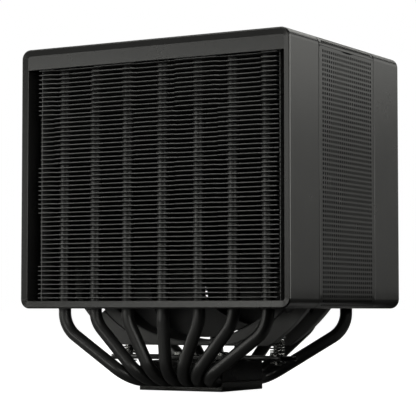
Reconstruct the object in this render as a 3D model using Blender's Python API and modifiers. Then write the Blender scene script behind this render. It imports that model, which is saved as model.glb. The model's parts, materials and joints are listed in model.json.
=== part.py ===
"""Dual tower CPU cooler in a cuboid shroud, with one fan between its two fin stacks.

Units are metres and +Z is up. The origin is the centre of the cold plate's contact face.
The intake face looks along -Y. Air leaves through the open frame on the +Y side.
"""
import math

import bmesh
import bpy
from mathutils import Matrix, Vector

# ---------------------------------------------------------------- driving dimensions
GAP = 0.0003                # left between pieces that touch

# shroud: front frame, mesh band and rear frame form one rounded box
BODY_WIDTH = 0.1465
BODY_TOP = 0.1640
BODY_BOTTOM = 0.0389
BODY_FRONT = -0.0476
BODY_DEPTH = 0.1174
BODY_CORNER = 0.0046
FRAME_DEPTH = 0.0290
FRAME_WALL = 0.0029
FACE_DEPTH = 0.0020         # the front rim's thickness
RIM_SIDE = 0.0035
RIM_BOTTOM = 0.0034
RIM_TOP = 0.0100
LIP_DEPTH = 0.0026          # how far the bottom wall reaches in from the open face
SEAM = 0.0004               # gap between the frames and the mesh band
PANEL = 0.0015              # sheet thickness of the mesh panels
WINDOW_CORNER = 0.0006
POCKET_CORNER = 0.0018
OPEN_BOTTOM_X = 0.0680      # half width of the open underside of each frame
OPEN_BOTTOM_Z = 0.0425
TURN_UNDER_X = 0.0665       # where a side panel's turned-under edge ends
TONGUE_Z = (0.060, 0.140)
TONGUE_HALF_HEIGHT = 0.0060
TONGUE_REACH = 0.0040
TONGUE_ROOT = 0.0030
TONGUE_THICKNESS = 0.0012
LID_SEAM_Z = 0.1593
NOTCH_LENGTH = 0.0120
NOTCH_HEIGHT = 0.0007

# heat pipes
PIPE_RADIUS = 0.0030
PIPE_X = (0.0, 0.0195, 0.0378, 0.0556)      # legs in the towers, from the middle outwards
PIPE_PITCH_BASE = 0.0065                    # spacing inside the base
PIPE_Z = 0.0050                             # centre line inside the base
PIPE_TOP = 0.1575
FRONT_LEG_Y = -0.0354
REAR_LEG_Y = 0.0453
FRONT_TURN_Y = -0.0321                      # where a pipe turns level in front of the base
REAR_TURN_Y = 0.0304
KNEE_Z = (0.0330, 0.0335, 0.0330, 0.0300)   # where a leg turns towards the base
REAR_KNEE_DROP = 0.0010
KNEE_BEND = 0.0140
FOOT_BEND = 0.0110

# base
BASE_X = 0.0228
BASE_Y = 0.01975
PLATE_TOP = 0.0043
BLOCK_TOP = 0.0140
GROOVE = 0.00315            # flat-to-flat half width of the pipe grooves

# fin stacks
FIN_X = 0.0652
FIN_BOTTOM_Z = 0.0419
FIN_PITCH = 0.0086
FIN_COUNT = 14
FIN_THICKNESS = 0.0016
FIN_FLANGE = 0.0010
PIPE_HOLE = 0.0034
FRONT_STACK_Y = (-0.0446, -0.0110)
REAR_STACK_Y = (0.0173, 0.0668)

# fan
FAN_Z = 0.0913
FAN_Y = 0.0031              # middle of the frame's thickness
FAN_SIZE = 0.1400
FAN_THICKNESS = 0.0250
FAN_CORNER = 0.0814         # radius of the arcs that cut the frame's corners
FAN_DUCT = 0.0675
FAN_FLANGE = 0.0038
FAN_HOLE_SPACING = 0.1050
FAN_HOLE = 0.0022
PAD_PLACE = (0.0585, 0.0455)                # from the fan's axis, across and up
PAD_RADIUS = 0.0045
PAD_THICKNESS = 0.0011

# fan motor and impeller
STRUT_COUNT = 7
STRUT_TURN = 12.0           # degrees
STRUT_WIDTH = 0.0030
STRUT_DEPTH = 0.0036
SEAT_THICKNESS = 0.0030
POST_RADIUS = 0.0052
POST_LENGTH = 0.0170
SLEEVE_BORE = 0.0018
SLEEVE_RADIUS = 0.0035
SHAFT_RADIUS = 0.0015
HUB_RADIUS = 0.0215
HUB_WALL = 0.0014
HUB_CAP = 0.0018
YOKE_WALL = 0.0010
RING_WALL = 0.0020
CORE_TIP = 0.0155
CORE_SHOE = 0.0140
CORE_HUB = 0.0080
CORE_ARM = 0.0014           # half the width of a pole's arm
CORE_DEPTH = 0.0070
BOARD_RADIUS = 0.0180
BOARD_THICKNESS = 0.0012
BLADE_COUNT = 9
BLADE_TIP = 0.0660
BLADE_SPAN = math.radians(36.0)
BLADE_SWEEP = math.radians(12.0)
BLADE_THICKNESS = 0.0016
BLADE_DEPTH = 0.0150

# mounting crossbar and its sprung screws
BAR_LENGTH = 0.1020
BAR_WIDTH = 0.0120
BAR_BOTTOM = 0.0143
BAR_THICKNESS = 0.0022
SCREW_X = 0.0415
SCREW_TIP_Z = 0.0118
SCREW_RADIUS = 0.0019
SPRING_RADIUS = 0.0034      # to the middle of the wire
SPRING_WIRE = 0.0004       # radius of the wire
SPRING_TOP = 0.0246
SPRING_TURNS = 5.0
SEAT_PAD_X = (0.0463, 0.0496)
SEAT_PAD_HALF_WIDTH = 0.0032
SEAT_PAD_BOTTOM = 0.0139    # a little below the bar, so that only the pad touches a standoff
FIXING_X = 0.0120
FIXING_RADIUS = 0.0015
FIXING_TIP_Z = 0.0095
FIXING_HEAD = (0.0027, 0.0014)              # radius and height
SCREW_HOLE = 0.0023
SCREW_FLANGE = (0.0041, 0.0010)
SCREW_HEAD = (0.0029, 0.0024)
DRIVE_SLOT = (0.0022, 0.0004, 0.0010)       # half length, half width and depth
CLIP_RADIUS = 0.0038
CLIP_THICKNESS = 0.0006

# lid magnets
MAGNET_RADIUS = 0.0035
MAGNET_X = 0.0467
MAGNET_FRONT_Y = -0.0146
MAGNET_REAR_Y = 0.0362
MAGNET_THICKNESS = 0.0019
SHELF_TOP = 0.1572
SHELF_THICKNESS = 0.0020
SHELF_HALF_WIDTH = 0.0050
SHELF_HANGER = 0.0025       # thickness of the web that hangs a shelf from the roof
SHELF_ROOT = 0.0200         # how far that web stands behind the open face

BODY_REAR = BODY_FRONT + BODY_DEPTH
HALF_WIDTH = BODY_WIDTH / 2
BAR_TOP = BAR_BOTTOM + BAR_THICKNESS
FAN_FRONT = FAN_Y - FAN_THICKNESS / 2
FAN_REAR = FAN_Y + FAN_THICKNESS / 2
BAND_FRONT = BODY_FRONT + FRAME_DEPTH + SEAM
BAND_REAR = BODY_REAR - FRAME_DEPTH - SEAM

# ---------------------------------------------------------------- scene and materials
for old in list(bpy.data.objects):
    bpy.data.objects.remove(old, do_unlink=True)

PARTS = bpy.data.collections.new("cpu_tower_cooler")
CUTTERS = bpy.data.collections.new("cutters")
bpy.context.scene.collection.children.link(PARTS)
bpy.context.scene.collection.children.link(CUTTERS)


def material(name, colour, roughness, metallic):
    """A Principled material of one colour."""
    made = bpy.data.materials.new(name)
    made.use_nodes = True
    shader = made.node_tree.nodes["Principled BSDF"]
    shader.inputs["Base Color"].default_value = (*colour, 1.0)
    shader.inputs["Roughness"].default_value = roughness
    shader.inputs["Metallic"].default_value = metallic
    made.diffuse_color = (*colour, 1.0)
    return made


SATIN_BLACK = material("shroud_black", (0.045, 0.045, 0.048), 0.45, 0.3)
FIN_BLACK = material("fin_black", (0.030, 0.030, 0.032), 0.40, 0.7)
PIPE_BLACK = material("pipe_black", (0.050, 0.050, 0.052), 0.30, 0.6)
BASE_BLACK = material("block_black", (0.012, 0.012, 0.013), 0.45, 0.5)
NICKEL = material("plated_copper", (0.62, 0.60, 0.57), 0.22, 1.0)
STEEL = material("steel", (0.55, 0.55, 0.56), 0.28, 1.0)
FAN_PLASTIC = material("fan_plastic", (0.022, 0.022, 0.024), 0.50, 0.0)
RUBBER = material("rubber", (0.015, 0.015, 0.015), 0.80, 0.0)
MAGNET = material("magnet", (0.35, 0.35, 0.36), 0.35, 1.0)
FERRITE = material("ferrite", (0.04, 0.035, 0.035), 0.70, 0.0)
BRASS = material("bearing_brass", (0.60, 0.43, 0.18), 0.30, 1.0)
COPPER_WIRE = material("copper_wire", (0.55, 0.22, 0.09), 0.35, 1.0)
BOARD_GREEN = material("circuit_board", (0.01, 0.10, 0.04), 0.50, 0.0)


# ---------------------------------------------------------------- modelling helpers
def add_object(name, mesh, finish, cutter=False):
    """Link a mesh as a part, or as a hidden cutter."""
    made = bpy.data.objects.new(name, mesh)
    if cutter:
        CUTTERS.objects.link(made)
        made.display_type = "WIRE"
        made.hide_render = True
        made.hide_viewport = False
    else:
        PARTS.objects.link(made)
        mesh.materials.append(finish)
    return made


def smooth(made, angle=35.0):
    """Smooth shading, kept sharp at edges over the angle."""
    made.data.shade_smooth()
    made.data.set_sharp_from_angle(angle=math.radians(angle))


def boxes(name, extents, finish=None, cutter=False):
    """One object of boxes, each given as (x0, x1, y0, y1, z0, z1)."""
    bm = bmesh.new()
    for x0, x1, y0, y1, z0, z1 in extents:
        middle = Vector(((x0 + x1) / 2, (y0 + y1) / 2, (z0 + z1) / 2))
        scale = Matrix.Diagonal((x1 - x0, y1 - y0, z1 - z0, 1.0))
        bmesh.ops.create_cube(bm, size=1.0, matrix=Matrix.Translation(middle) @ scale)
    mesh = bpy.data.meshes.new(name)
    bm.to_mesh(mesh)
    bm.free()
    return add_object(name, mesh, finish, cutter)


def rods(name, centres, radius, length, sides, along="Z", finish=None, cutter=False):
    """One object of equal rods, each centred on a point."""
    turn = Matrix.Rotation(math.pi / 2, 4, "X") if along == "Y" else Matrix.Identity(4)
    flat_to_side = Matrix.Rotation(math.pi / sides, 4, "Z")
    bm = bmesh.new()
    for centre in centres:
        place = Matrix.Translation(Vector(centre)) @ turn @ flat_to_side
        bmesh.ops.create_cone(bm, cap_ends=True, segments=sides, radius1=radius,
                              radius2=radius, depth=length, matrix=place)
    mesh = bpy.data.meshes.new(name)
    bm.to_mesh(mesh)
    bm.free()
    made = add_object(name, mesh, finish, cutter)
    if not cutter and sides >= 10:
        smooth(made)
    return made


def outline_plate(name, loops, y0, y1, finish=None, cutter=False):
    """A flat plate across Y whose outline and holes are loops of (x, z) points."""
    curve = bpy.data.curves.new(name + "_outline", "CURVE")
    curve.dimensions = "2D"
    curve.fill_mode = "BOTH"
    curve.extrude = (y1 - y0) / 2
    for loop in loops:
        spline = curve.splines.new("POLY")
        spline.points.add(len(loop) - 1)
        spline.use_cyclic_u = True
        for point, (x, z) in zip(spline.points, loop):
            point.co = (x, z, 0.0, 1.0)
    flat = bpy.data.objects.new(name + "_outline", curve)
    flat.matrix_world = (Matrix.Translation((0.0, (y0 + y1) / 2, 0.0))
                         @ Matrix.Rotation(math.pi / 2, 4, "X"))
    PARTS.objects.link(flat)
    return mesh_from(flat, name, finish, cutter)


def mesh_from(source, name, finish, cutter=False):
    """Turn a curve object into a welded mesh object in the same place."""
    bpy.context.view_layer.update()
    graph = bpy.context.evaluated_depsgraph_get()
    mesh = bpy.data.meshes.new_from_object(source.evaluated_get(graph))
    mesh.transform(source.matrix_world)
    bm = bmesh.new()
    bm.from_mesh(mesh)
    bmesh.ops.remove_doubles(bm, verts=bm.verts, dist=1e-6)
    bm.to_mesh(mesh)
    bm.free()
    mesh.materials.clear()
    bpy.data.objects.remove(source, do_unlink=True)
    return add_object(name, mesh, finish, cutter)


def arc(cx, cz, radius, start, end, steps):
    """Points on an arc, with angles in degrees."""
    points = []
    for step in range(steps + 1):
        angle = math.radians(start + (end - start) * step / steps)
        points.append((cx + radius * math.cos(angle), cz + radius * math.sin(angle)))
    return points


def circle(cx, cz, radius, sides):
    """A closed loop round a point."""
    return arc(cx, cz, radius, 0.0, 360.0 * (sides - 1) / sides, sides - 1)


def rounded_rectangle(x0, x1, z0, z1, radius, steps=4):
    """A closed loop with round corners."""
    loop = arc(x1 - radius, z1 - radius, radius, 0, 90, steps)
    loop += arc(x0 + radius, z1 - radius, radius, 90, 180, steps)
    loop += arc(x0 + radius, z0 + radius, radius, 180, 270, steps)
    loop += arc(x1 - radius, z0 + radius, radius, 270, 360, steps)
    return loop


def rectangle(x0, x1, z0, z1):
    """A closed loop with square corners."""
    return [(x1, z1), (x0, z1), (x0, z0), (x1, z0)]


def combine(made, other, operation):
    """Cut or join another object with an exact Boolean modifier."""
    modifier = made.modifiers.new(other.name, "BOOLEAN")
    modifier.operation = operation
    modifier.object = other
    modifier.solver = "EXACT"


def turned(name, profile, sides, finish, centre, along="Z", closed=False):
    """A turned piece from (radius, height) points. Heights run along the axis."""
    points = [(radius, 0.0, height) for radius, height in profile]
    edges = [(i, i + 1) for i in range(len(points) - 1)]
    if closed:
        edges.append((len(points) - 1, 0))
    mesh = bpy.data.meshes.new(name)
    mesh.from_pydata(points, edges, [])
    made = add_object(name, mesh, finish)
    screw = made.modifiers.new("turn", "SCREW")
    screw.axis = "Z"
    screw.angle = 2 * math.pi
    screw.steps = sides
    screw.render_steps = sides
    screw.use_merge_vertices = True
    screw.merge_threshold = 0.00001
    screw.use_smooth_shade = True
    made.location = centre
    if along == "Y":
        made.rotation_euler = (-math.pi / 2, 0.0, 0.0)
    return made


def solid_profile(radius, bottom, top):
    """Profile of a plain round bar, from the axis to the axis."""
    return [(0.0, top), (radius, top), (radius, bottom), (0.0, bottom)]


def ring_profile(outer, inner, bottom, top):
    """Profile of a plain ring, down its outer side and up its bore."""
    return [(outer, top), (outer, bottom), (inner, bottom), (inner, top)]


def empty(name, location):
    """An empty that marks a joint's place."""
    made = bpy.data.objects.new(name, None)
    made.empty_display_size = 0.01
    made.location = location
    PARTS.objects.link(made)
    return made


def carry(parent, children):
    """Parent pieces to an empty without moving them."""
    for child in children:
        child.parent = parent
        child.matrix_parent_inverse = Matrix.Translation(parent.location).inverted()


def rounded_path(corners, bends, steps):
    """A polyline whose inner corners are round, each with its own bend radius."""
    path = [Vector(corners[0])]
    for index, bend in enumerate(bends, start=1):
        before, corner, after = (Vector(corners[index + k]) for k in (-1, 0, 1))
        back = (before - corner).normalized()
        ahead = (after - corner).normalized()
        opening = back.angle(ahead)
        centre = corner + (back + ahead).normalized() * bend / math.sin(opening / 2)
        reach = bend / math.tan(opening / 2)
        first = corner + back * reach - centre
        last = corner + ahead * reach - centre
        sweep = math.pi - opening
        for step in range(steps + 1):
            part = step / steps
            blend = first * math.sin((1 - part) * sweep) + last * math.sin(part * sweep)
            path.append(centre + blend / math.sin(sweep))
    path.append(Vector(corners[-1]))
    return path


def tube(name, path, radius, finish):
    """A round tube with filled ends along a polyline."""
    curve = bpy.data.curves.new(name, "CURVE")
    curve.dimensions = "3D"
    curve.bevel_depth = radius
    curve.bevel_resolution = 2
    curve.use_fill_caps = True
    spline = curve.splines.new("POLY")
    spline.points.add(len(path) - 1)
    for point, place in zip(spline.points, path):
        point.co = (*place, 1.0)
    curve.materials.append(finish)
    made = bpy.data.objects.new(name, curve)
    PARTS.objects.link(made)
    return made


# ---------------------------------------------------------------- base and heat pipes
def pipe_slots():
    """The seven pipes as whole numbers from the middle one."""
    return range(-3, 4)


def pipe_leg_x(slot):
    """Where a pipe stands in the towers."""
    return math.copysign(PIPE_X[abs(slot)], slot)


def heat_pipe(number, slot):
    """One U-shaped pipe: down the front tower, through the base, up the rear tower."""
    leg_x = pipe_leg_x(slot)
    foot_x = slot * PIPE_PITCH_BASE
    knee_z = KNEE_Z[abs(slot)]
    corners = [
        (leg_x, FRONT_LEG_Y, PIPE_TOP),
        (leg_x, FRONT_LEG_Y, knee_z),
        (foot_x, FRONT_TURN_Y, PIPE_Z),
        (foot_x, REAR_TURN_Y, PIPE_Z),
        (leg_x, REAR_LEG_Y, knee_z - REAR_KNEE_DROP),
        (leg_x, REAR_LEG_Y, PIPE_TOP),
    ]
    path = rounded_path(corners, (KNEE_BEND, FOOT_BEND, FOOT_BEND, KNEE_BEND), 4)
    return tube(f"heat_pipe_{number}", path, PIPE_RADIUS, PIPE_BLACK)


def groove_cutter(name):
    """Seven straight grooves along Y at the pipes' height."""
    centres = [(slot * PIPE_PITCH_BASE, 0.0, PIPE_Z) for slot in pipe_slots()]
    sides = 12
    return rods(name, centres, GROOVE / math.cos(math.pi / sides), 3 * BASE_Y, sides, "Y",
                cutter=True)


def base():
    """The cold plate and the block that clamps the pipes on it."""
    plate = boxes("cold_plate", [(-BASE_X, BASE_X, -BASE_Y, BASE_Y, 0.0, PLATE_TOP)], NICKEL)
    combine(plate, groove_cutter("plate_grooves"), "DIFFERENCE")
    block = boxes("base_block",
                  [(-BASE_X, BASE_X, -BASE_Y, BASE_Y, PLATE_TOP + GAP, BLOCK_TOP)], BASE_BLACK)
    combine(block, groove_cutter("block_grooves"), "DIFFERENCE")
    holes = rods("fixing_holes", [(side * FIXING_X, 0.0, BLOCK_TOP) for side in (-1, 1)],
                 FIXING_RADIUS + GAP, 2 * (BLOCK_TOP - FIXING_TIP_Z + GAP), 12, cutter=True)
    combine(block, holes, "DIFFERENCE")


# ---------------------------------------------------------------- fin stacks
def fin_stack(name, span_y, leg_y):
    """Plates with folded side flanges, pierced by the seven pipes. Every fourth fin."""
    first, last = span_y
    height = FIN_PITCH * (FIN_COUNT - 1)
    low = FIN_BOTTOM_Z - FIN_THICKNESS / 2
    loops = [rectangle(-FIN_X, FIN_X, low, low + height + FIN_THICKNESS)]
    inner = FIN_X - FIN_FLANGE
    for index in range(FIN_COUNT - 1):
        floor = FIN_BOTTOM_Z + FIN_PITCH * index + FIN_THICKNESS / 2
        loops.append(rectangle(-inner, inner, floor, floor + FIN_PITCH - FIN_THICKNESS))
    stack = outline_plate(name, loops, first, last, FIN_BLACK)
    sides = 6
    middle = low + height / 2
    holes = rods(name + "_pipe_holes", [(pipe_leg_x(s), leg_y, middle) for s in pipe_slots()],
                 PIPE_HOLE / math.cos(math.pi / sides), height + 0.02, sides, cutter=True)
    combine(stack, holes, "DIFFERENCE")


# ---------------------------------------------------------------- shroud
def shroud_frame(name, face_y, inward):
    """A rounded ring with an open face. Inward is +1 for the front frame, -1 for the rear."""

    def span(near, far):
        ends = (face_y + inward * near, face_y + inward * far)
        return min(ends), max(ends)

    ring = rounded_rectangle(-HALF_WIDTH, HALF_WIDTH, BODY_BOTTOM, BODY_TOP, BODY_CORNER)
    frame = outline_plate(name, [ring], *span(0.0, FRAME_DEPTH), SATIN_BLACK)
    face = rounded_rectangle(-HALF_WIDTH + RIM_SIDE, HALF_WIDTH - RIM_SIDE,
                             BODY_BOTTOM + RIM_BOTTOM, BODY_TOP - RIM_TOP, WINDOW_CORNER, 2)
    window = outline_plate(name + "_window", [face], *span(-FACE_DEPTH, 2 * FACE_DEPTH), cutter=True)
    combine(frame, window, "DIFFERENCE")
    pocket = rounded_rectangle(-HALF_WIDTH + FRAME_WALL, HALF_WIDTH - FRAME_WALL,
                               BODY_BOTTOM + FRAME_WALL, BODY_TOP - FRAME_WALL, POCKET_CORNER, 2)
    beyond = FRAME_DEPTH + 0.01
    combine(frame, outline_plate(name + "_pocket", [pocket], *span(FACE_DEPTH, beyond), cutter=True),
            "DIFFERENCE")
    open_bottom = (-OPEN_BOTTOM_X, OPEN_BOTTOM_X, *span(LIP_DEPTH, beyond),
                   BODY_BOTTOM - 0.01, OPEN_BOTTOM_Z)
    combine(frame, boxes(name + "_bottom", [open_bottom], cutter=True), "DIFFERENCE")
    shelves(name, frame, inward)
    return frame


def shelves(name, frame, inward):
    """Two shelves under the lid, which carry the catch magnets."""
    magnet_y = MAGNET_FRONT_Y if inward > 0 else MAGNET_REAR_Y
    root = (BODY_FRONT if inward > 0 else BODY_REAR) + inward * SHELF_ROOT
    tip = magnet_y + inward * (MAGNET_RADIUS + 0.0001)
    shelf_y = sorted((root, tip))
    web_y = sorted((root, root + inward * SHELF_HANGER))
    for number, side in enumerate((-1, 1), start=1):
        near = side * MAGNET_X - SHELF_HALF_WIDTH
        far = side * MAGNET_X + SHELF_HALF_WIDTH
        shelf = (near, far, *shelf_y, SHELF_TOP - SHELF_THICKNESS, SHELF_TOP)
        combine(frame, boxes(f"{name}_shelf_{number}", [shelf], cutter=True), "UNION")
        web = (near + 0.001, far - 0.001, *web_y, SHELF_TOP - SHELF_THICKNESS / 2,
               BODY_TOP - FRAME_WALL / 2)
        combine(frame, boxes(f"{name}_web_{number}", [web], cutter=True), "UNION")


def side_panel(name, side):
    """One side mesh panel: a sheet that turns under at the bottom, with four tongues."""
    outer = HALF_WIDTH
    centre_x = outer - BODY_CORNER
    centre_z = BODY_BOTTOM + BODY_CORNER
    inner_bend = BODY_CORNER - PANEL
    top = LID_SEAM_Z - SEAM / 2
    loop = [(outer, top), (outer - PANEL, top)]
    loop += arc(centre_x, centre_z, inner_bend, 0, -90, 4)
    loop += [(TURN_UNDER_X, BODY_BOTTOM + PANEL), (TURN_UNDER_X, BODY_BOTTOM)]
    loop += arc(centre_x, centre_z, BODY_CORNER, -90, 0, 4)
    loop = [(side * x, z) for x, z in loop]
    panel = outline_plate(name, [loop], BAND_FRONT, BAND_REAR, SATIN_BLACK)
    middle = (BAND_FRONT + BAND_REAR) / 2
    across = sorted((side * (outer - 0.01), side * (outer + 0.01)))
    notch = boxes(name + "_notch", [(*across, middle - NOTCH_LENGTH / 2, middle + NOTCH_LENGTH / 2,
                                     top - NOTCH_HEIGHT, top + 0.01)], cutter=True)
    combine(panel, notch, "DIFFERENCE")
    for step, start in ((1, BAND_FRONT), (-1, BAND_REAR)):
        for number, tongue_z in enumerate(TONGUE_Z, start=1):
            end = "front" if step > 0 else "rear"
            tongue(f"{name}_{end}_tongue_{number}", panel, side, step, start, tongue_z)
    return panel


def tongue(name, panel, side, step, start, middle_z):
    """A tongue that reaches behind a frame's wall, on a stem from the panel."""
    behind = HALF_WIDTH - FRAME_WALL - GAP
    stem_y = sorted((start + step * SEAM, start + step * TONGUE_ROOT))
    arm_y = sorted((start - step * TONGUE_REACH, start + step * TONGUE_ROOT))
    stem_x = sorted((side * (behind - TONGUE_THICKNESS / 2), side * (HALF_WIDTH - PANEL / 2)))
    arm_x = sorted((side * (behind - TONGUE_THICKNESS), side * behind))
    stem_half = TONGUE_HALF_HEIGHT
    arm_half = TONGUE_HALF_HEIGHT - 0.0005
    stem = (*stem_x, *stem_y, middle_z - stem_half, middle_z + stem_half)
    arm = (*arm_x, *arm_y, middle_z - arm_half, middle_z + arm_half)
    combine(panel, boxes(name + "_stem", [stem], cutter=True), "UNION")
    combine(panel, boxes(name + "_arm", [arm], cutter=True), "UNION")


def top_lid():
    """The lift-off top mesh panel, bent down over both upper edges."""
    outer = HALF_WIDTH
    centre_x = outer - BODY_CORNER
    centre_z = BODY_TOP - BODY_CORNER
    bottom = LID_SEAM_Z + SEAM / 2
    inner_bend = BODY_CORNER - PANEL
    loop = [(outer, bottom)]
    loop += arc(centre_x, centre_z, BODY_CORNER, 5, 90, 4)
    loop += arc(-centre_x, centre_z, BODY_CORNER, 90, 175, 4)
    loop += [(-outer, bottom), (-outer + PANEL, bottom)]
    loop += arc(-centre_x, centre_z, inner_bend, 170, 90, 4)
    loop += arc(centre_x, centre_z, inner_bend, 90, 10, 4)
    loop += [(outer - PANEL, bottom)]
    return outline_plate("top_mesh_lid", [loop], BAND_FRONT, BAND_REAR, SATIN_BLACK)


def magnets():
    """Four magnets under the lid and four on the frames' shelves."""
    lid_magnets = []
    places = [(x, y) for y in (MAGNET_FRONT_Y, MAGNET_REAR_Y) for x in (-MAGNET_X, MAGNET_X)]
    lid_top = BODY_TOP - PANEL - GAP
    for number, (x, y) in enumerate(places, start=1):
        lid_magnets.append(turned(f"lid_magnet_{number}",
                                  solid_profile(MAGNET_RADIUS, lid_top - MAGNET_THICKNESS, lid_top),
                                  16, MAGNET, (x, y, 0.0)))
        catch_bottom = SHELF_TOP + GAP
        turned(f"catch_magnet_{number}",
               solid_profile(MAGNET_RADIUS, catch_bottom, catch_bottom + MAGNET_THICKNESS),
               16, MAGNET, (x, y, 0.0))
    return lid_magnets


# ---------------------------------------------------------------- fan
def fan_outline():
    """A square whose corners are arcs about the fan's axis."""
    half = FAN_SIZE / 2
    corner = math.degrees(math.acos(half / FAN_CORNER))
    loop = []
    for quarter in range(4):
        start = 90 * quarter + corner
        loop += arc(0.0, FAN_Z, FAN_CORNER, start, 90 * (quarter + 1) - corner, 5)
    return loop


def fan_frame():
    """Square frame with a round duct, two flanges, rear struts and the motor's seat."""
    duct_sides = 40
    middle_y = (FAN_FRONT + FAN_REAR) / 2
    frame = turned("fan_frame",
                   ring_profile(FAN_SIZE / 2 - 0.00005, FAN_DUCT, -FAN_THICKNESS / 2 + 0.0001,
                                FAN_THICKNESS / 2 - 0.0001),
                   duct_sides, FAN_PLASTIC, (0.0, middle_y, FAN_Z), "Y", closed=True)
    half = FAN_HOLE_SPACING / 2
    holes = [circle(x, FAN_Z + z, FAN_HOLE, 8) for x in (-half, half) for z in (-half, half)]
    for label, y0 in (("front", FAN_FRONT), ("rear", FAN_REAR - FAN_FLANGE)):
        loops = [fan_outline(), circle(0.0, FAN_Z, FAN_DUCT + 0.0012, duct_sides)] + holes
        flange = outline_plate(f"fan_{label}_flange", loops, y0, y0 + FAN_FLANGE, cutter=True)
        combine(frame, flange, "UNION")
    for index in range(STRUT_COUNT):
        combine(frame, strut(f"fan_strut_{index}", 360.0 * index / STRUT_COUNT + STRUT_TURN), "UNION")
    seat = rods("fan_motor_seat", [(0.0, FAN_REAR - SEAT_THICKNESS / 2, FAN_Z)], HUB_RADIUS,
                SEAT_THICKNESS, 32, "Y", cutter=True)
    combine(frame, seat, "UNION")
    post_middle = FAN_REAR - SEAT_THICKNESS / 2 - POST_LENGTH / 2
    post = rods("fan_bearing_post", [(0.0, post_middle + 0.001, FAN_Z)], POST_RADIUS, POST_LENGTH,
                20, "Y", cutter=True)
    combine(frame, post, "UNION")
    bore = rods("fan_bearing_bore", [(0.0, post_middle - 0.001, FAN_Z)], SLEEVE_RADIUS + GAP,
                POST_LENGTH + 0.001, 20, "Y", cutter=True)
    combine(frame, bore, "DIFFERENCE")
    return frame


def strut(name, degrees):
    """One leaning arm between the motor's seat and the duct."""
    bm = bmesh.new()
    length = FAN_DUCT - HUB_RADIUS + 0.003
    middle = (FAN_DUCT + HUB_RADIUS) / 2 + 0.0002
    place = (Matrix.Translation((0.0, FAN_REAR - STRUT_DEPTH / 2 - GAP, FAN_Z))
             @ Matrix.Rotation(-math.radians(degrees), 4, "Y")
             @ Matrix.Translation((middle, 0.0, 0.0))
             @ Matrix.Diagonal((length, STRUT_DEPTH, STRUT_WIDTH, 1.0)))
    bmesh.ops.create_cube(bm, size=1.0, matrix=place)
    mesh = bpy.data.meshes.new(name)
    bm.to_mesh(mesh)
    bm.free()
    return add_object(name, mesh, None, cutter=True)


def blade_point(along, out, start):
    """A point on a blade's middle surface. Along runs from its front edge to its rear edge."""
    radius = HUB_RADIUS - 0.0008 + (BLADE_TIP - HUB_RADIUS + 0.0008) * out
    sweep = BLADE_SWEEP * out * out
    angle = start + sweep - BLADE_SPAN * (along - 0.5)
    depth = BLADE_DEPTH * (1.0 - 0.12 * out)
    camber = 0.10 * math.sin(math.pi * along)
    y = depth * (along - 0.5 + camber)
    return Vector((radius * math.cos(angle), y, radius * math.sin(angle)))


def blades():
    """All blades as one hidden mesh, thick on both sides of their middle surface."""
    chord_steps, span_steps = 4, 4
    bm = bmesh.new()
    for index in range(BLADE_COUNT):
        start = 2 * math.pi * index / BLADE_COUNT + math.radians(8.0)
        grids = []
        for side in (-0.5, 0.5):
            grid = []
            for i in range(chord_steps + 1):
                row = []
                for j in range(span_steps + 1):
                    along, out = i / chord_steps, j / span_steps
                    here = blade_point(along, out, start)
                    step_a = blade_point(along + 0.01, out, start) - here
                    step_b = blade_point(along, out + 0.01, start) - here
                    normal = step_a.cross(step_b).normalized()
                    row.append(bm.verts.new(here + normal * side * BLADE_THICKNESS))
                grid.append(row)
            grids.append(grid)
        low, high = grids
        for i in range(chord_steps):
            for j in range(span_steps):
                bm.faces.new((low[i][j], low[i][j + 1], low[i + 1][j + 1], low[i + 1][j]))
                bm.faces.new((high[i][j], high[i + 1][j], high[i + 1][j + 1], high[i][j + 1]))
        last = chord_steps
        for i in range(chord_steps):
            for j, flip in ((0, False), (span_steps, True)):
                face = (low[i][j], low[i + 1][j], high[i + 1][j], high[i][j])
                bm.faces.new(tuple(reversed(face)) if flip else face)
        for j in range(span_steps):
            for i, flip in ((0, True), (last, False)):
                face = (low[i][j], low[i][j + 1], high[i][j + 1], high[i][j])
                bm.faces.new(tuple(reversed(face)) if flip else face)
    bmesh.ops.recalc_face_normals(bm, faces=bm.faces)
    mesh = bpy.data.meshes.new("fan_blades")
    bm.to_mesh(mesh)
    bm.free()
    made = add_object("fan_blades", mesh, None, cutter=True)
    made.location = (0.0, FAN_Y - 0.0015, FAN_Z)
    return made


def fan_rotor():
    """Impeller, with the steel yoke, magnet ring and shaft that turn with it."""
    front = FAN_FRONT + 0.0008 - FAN_Y
    back = FAN_REAR - 0.0042 - FAN_Y
    centre = (0.0, FAN_Y, FAN_Z)
    inside = front + HUB_CAP
    cup = [(0.0, inside), (HUB_RADIUS - HUB_WALL, inside), (HUB_RADIUS - HUB_WALL, back),
           (HUB_RADIUS, back), (HUB_RADIUS, front + 0.001), (HUB_RADIUS - 0.001, front), (0.0, front)]
    impeller = turned("fan_impeller", cup, 32, FAN_PLASTIC, centre, "Y")
    combine(impeller, blades(), "UNION")
    outer = HUB_RADIUS - HUB_WALL - GAP
    inner = outer - YOKE_WALL
    lid = inside + GAP
    yoke_back = back - 0.0008
    yoke = [(2 * SHAFT_RADIUS, lid), (2 * SHAFT_RADIUS, lid + YOKE_WALL), (inner, lid + YOKE_WALL),
            (inner, yoke_back), (outer, yoke_back), (outer, lid)]
    steel_yoke = turned("rotor_yoke", yoke, 28, STEEL, centre, "Y", closed=True)
    ring_front = lid + YOKE_WALL + 0.0012
    ring = turned("rotor_magnet_ring",
                  ring_profile(inner - GAP, inner - GAP - RING_WALL, ring_front, yoke_back - 0.0004),
                  28, FERRITE, centre, "Y", closed=True)
    shaft = turned("fan_shaft", solid_profile(SHAFT_RADIUS, lid, back + 0.002), 16, STEEL, centre,
                   "Y")
    return [impeller, steel_yoke, ring, shaft]


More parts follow.
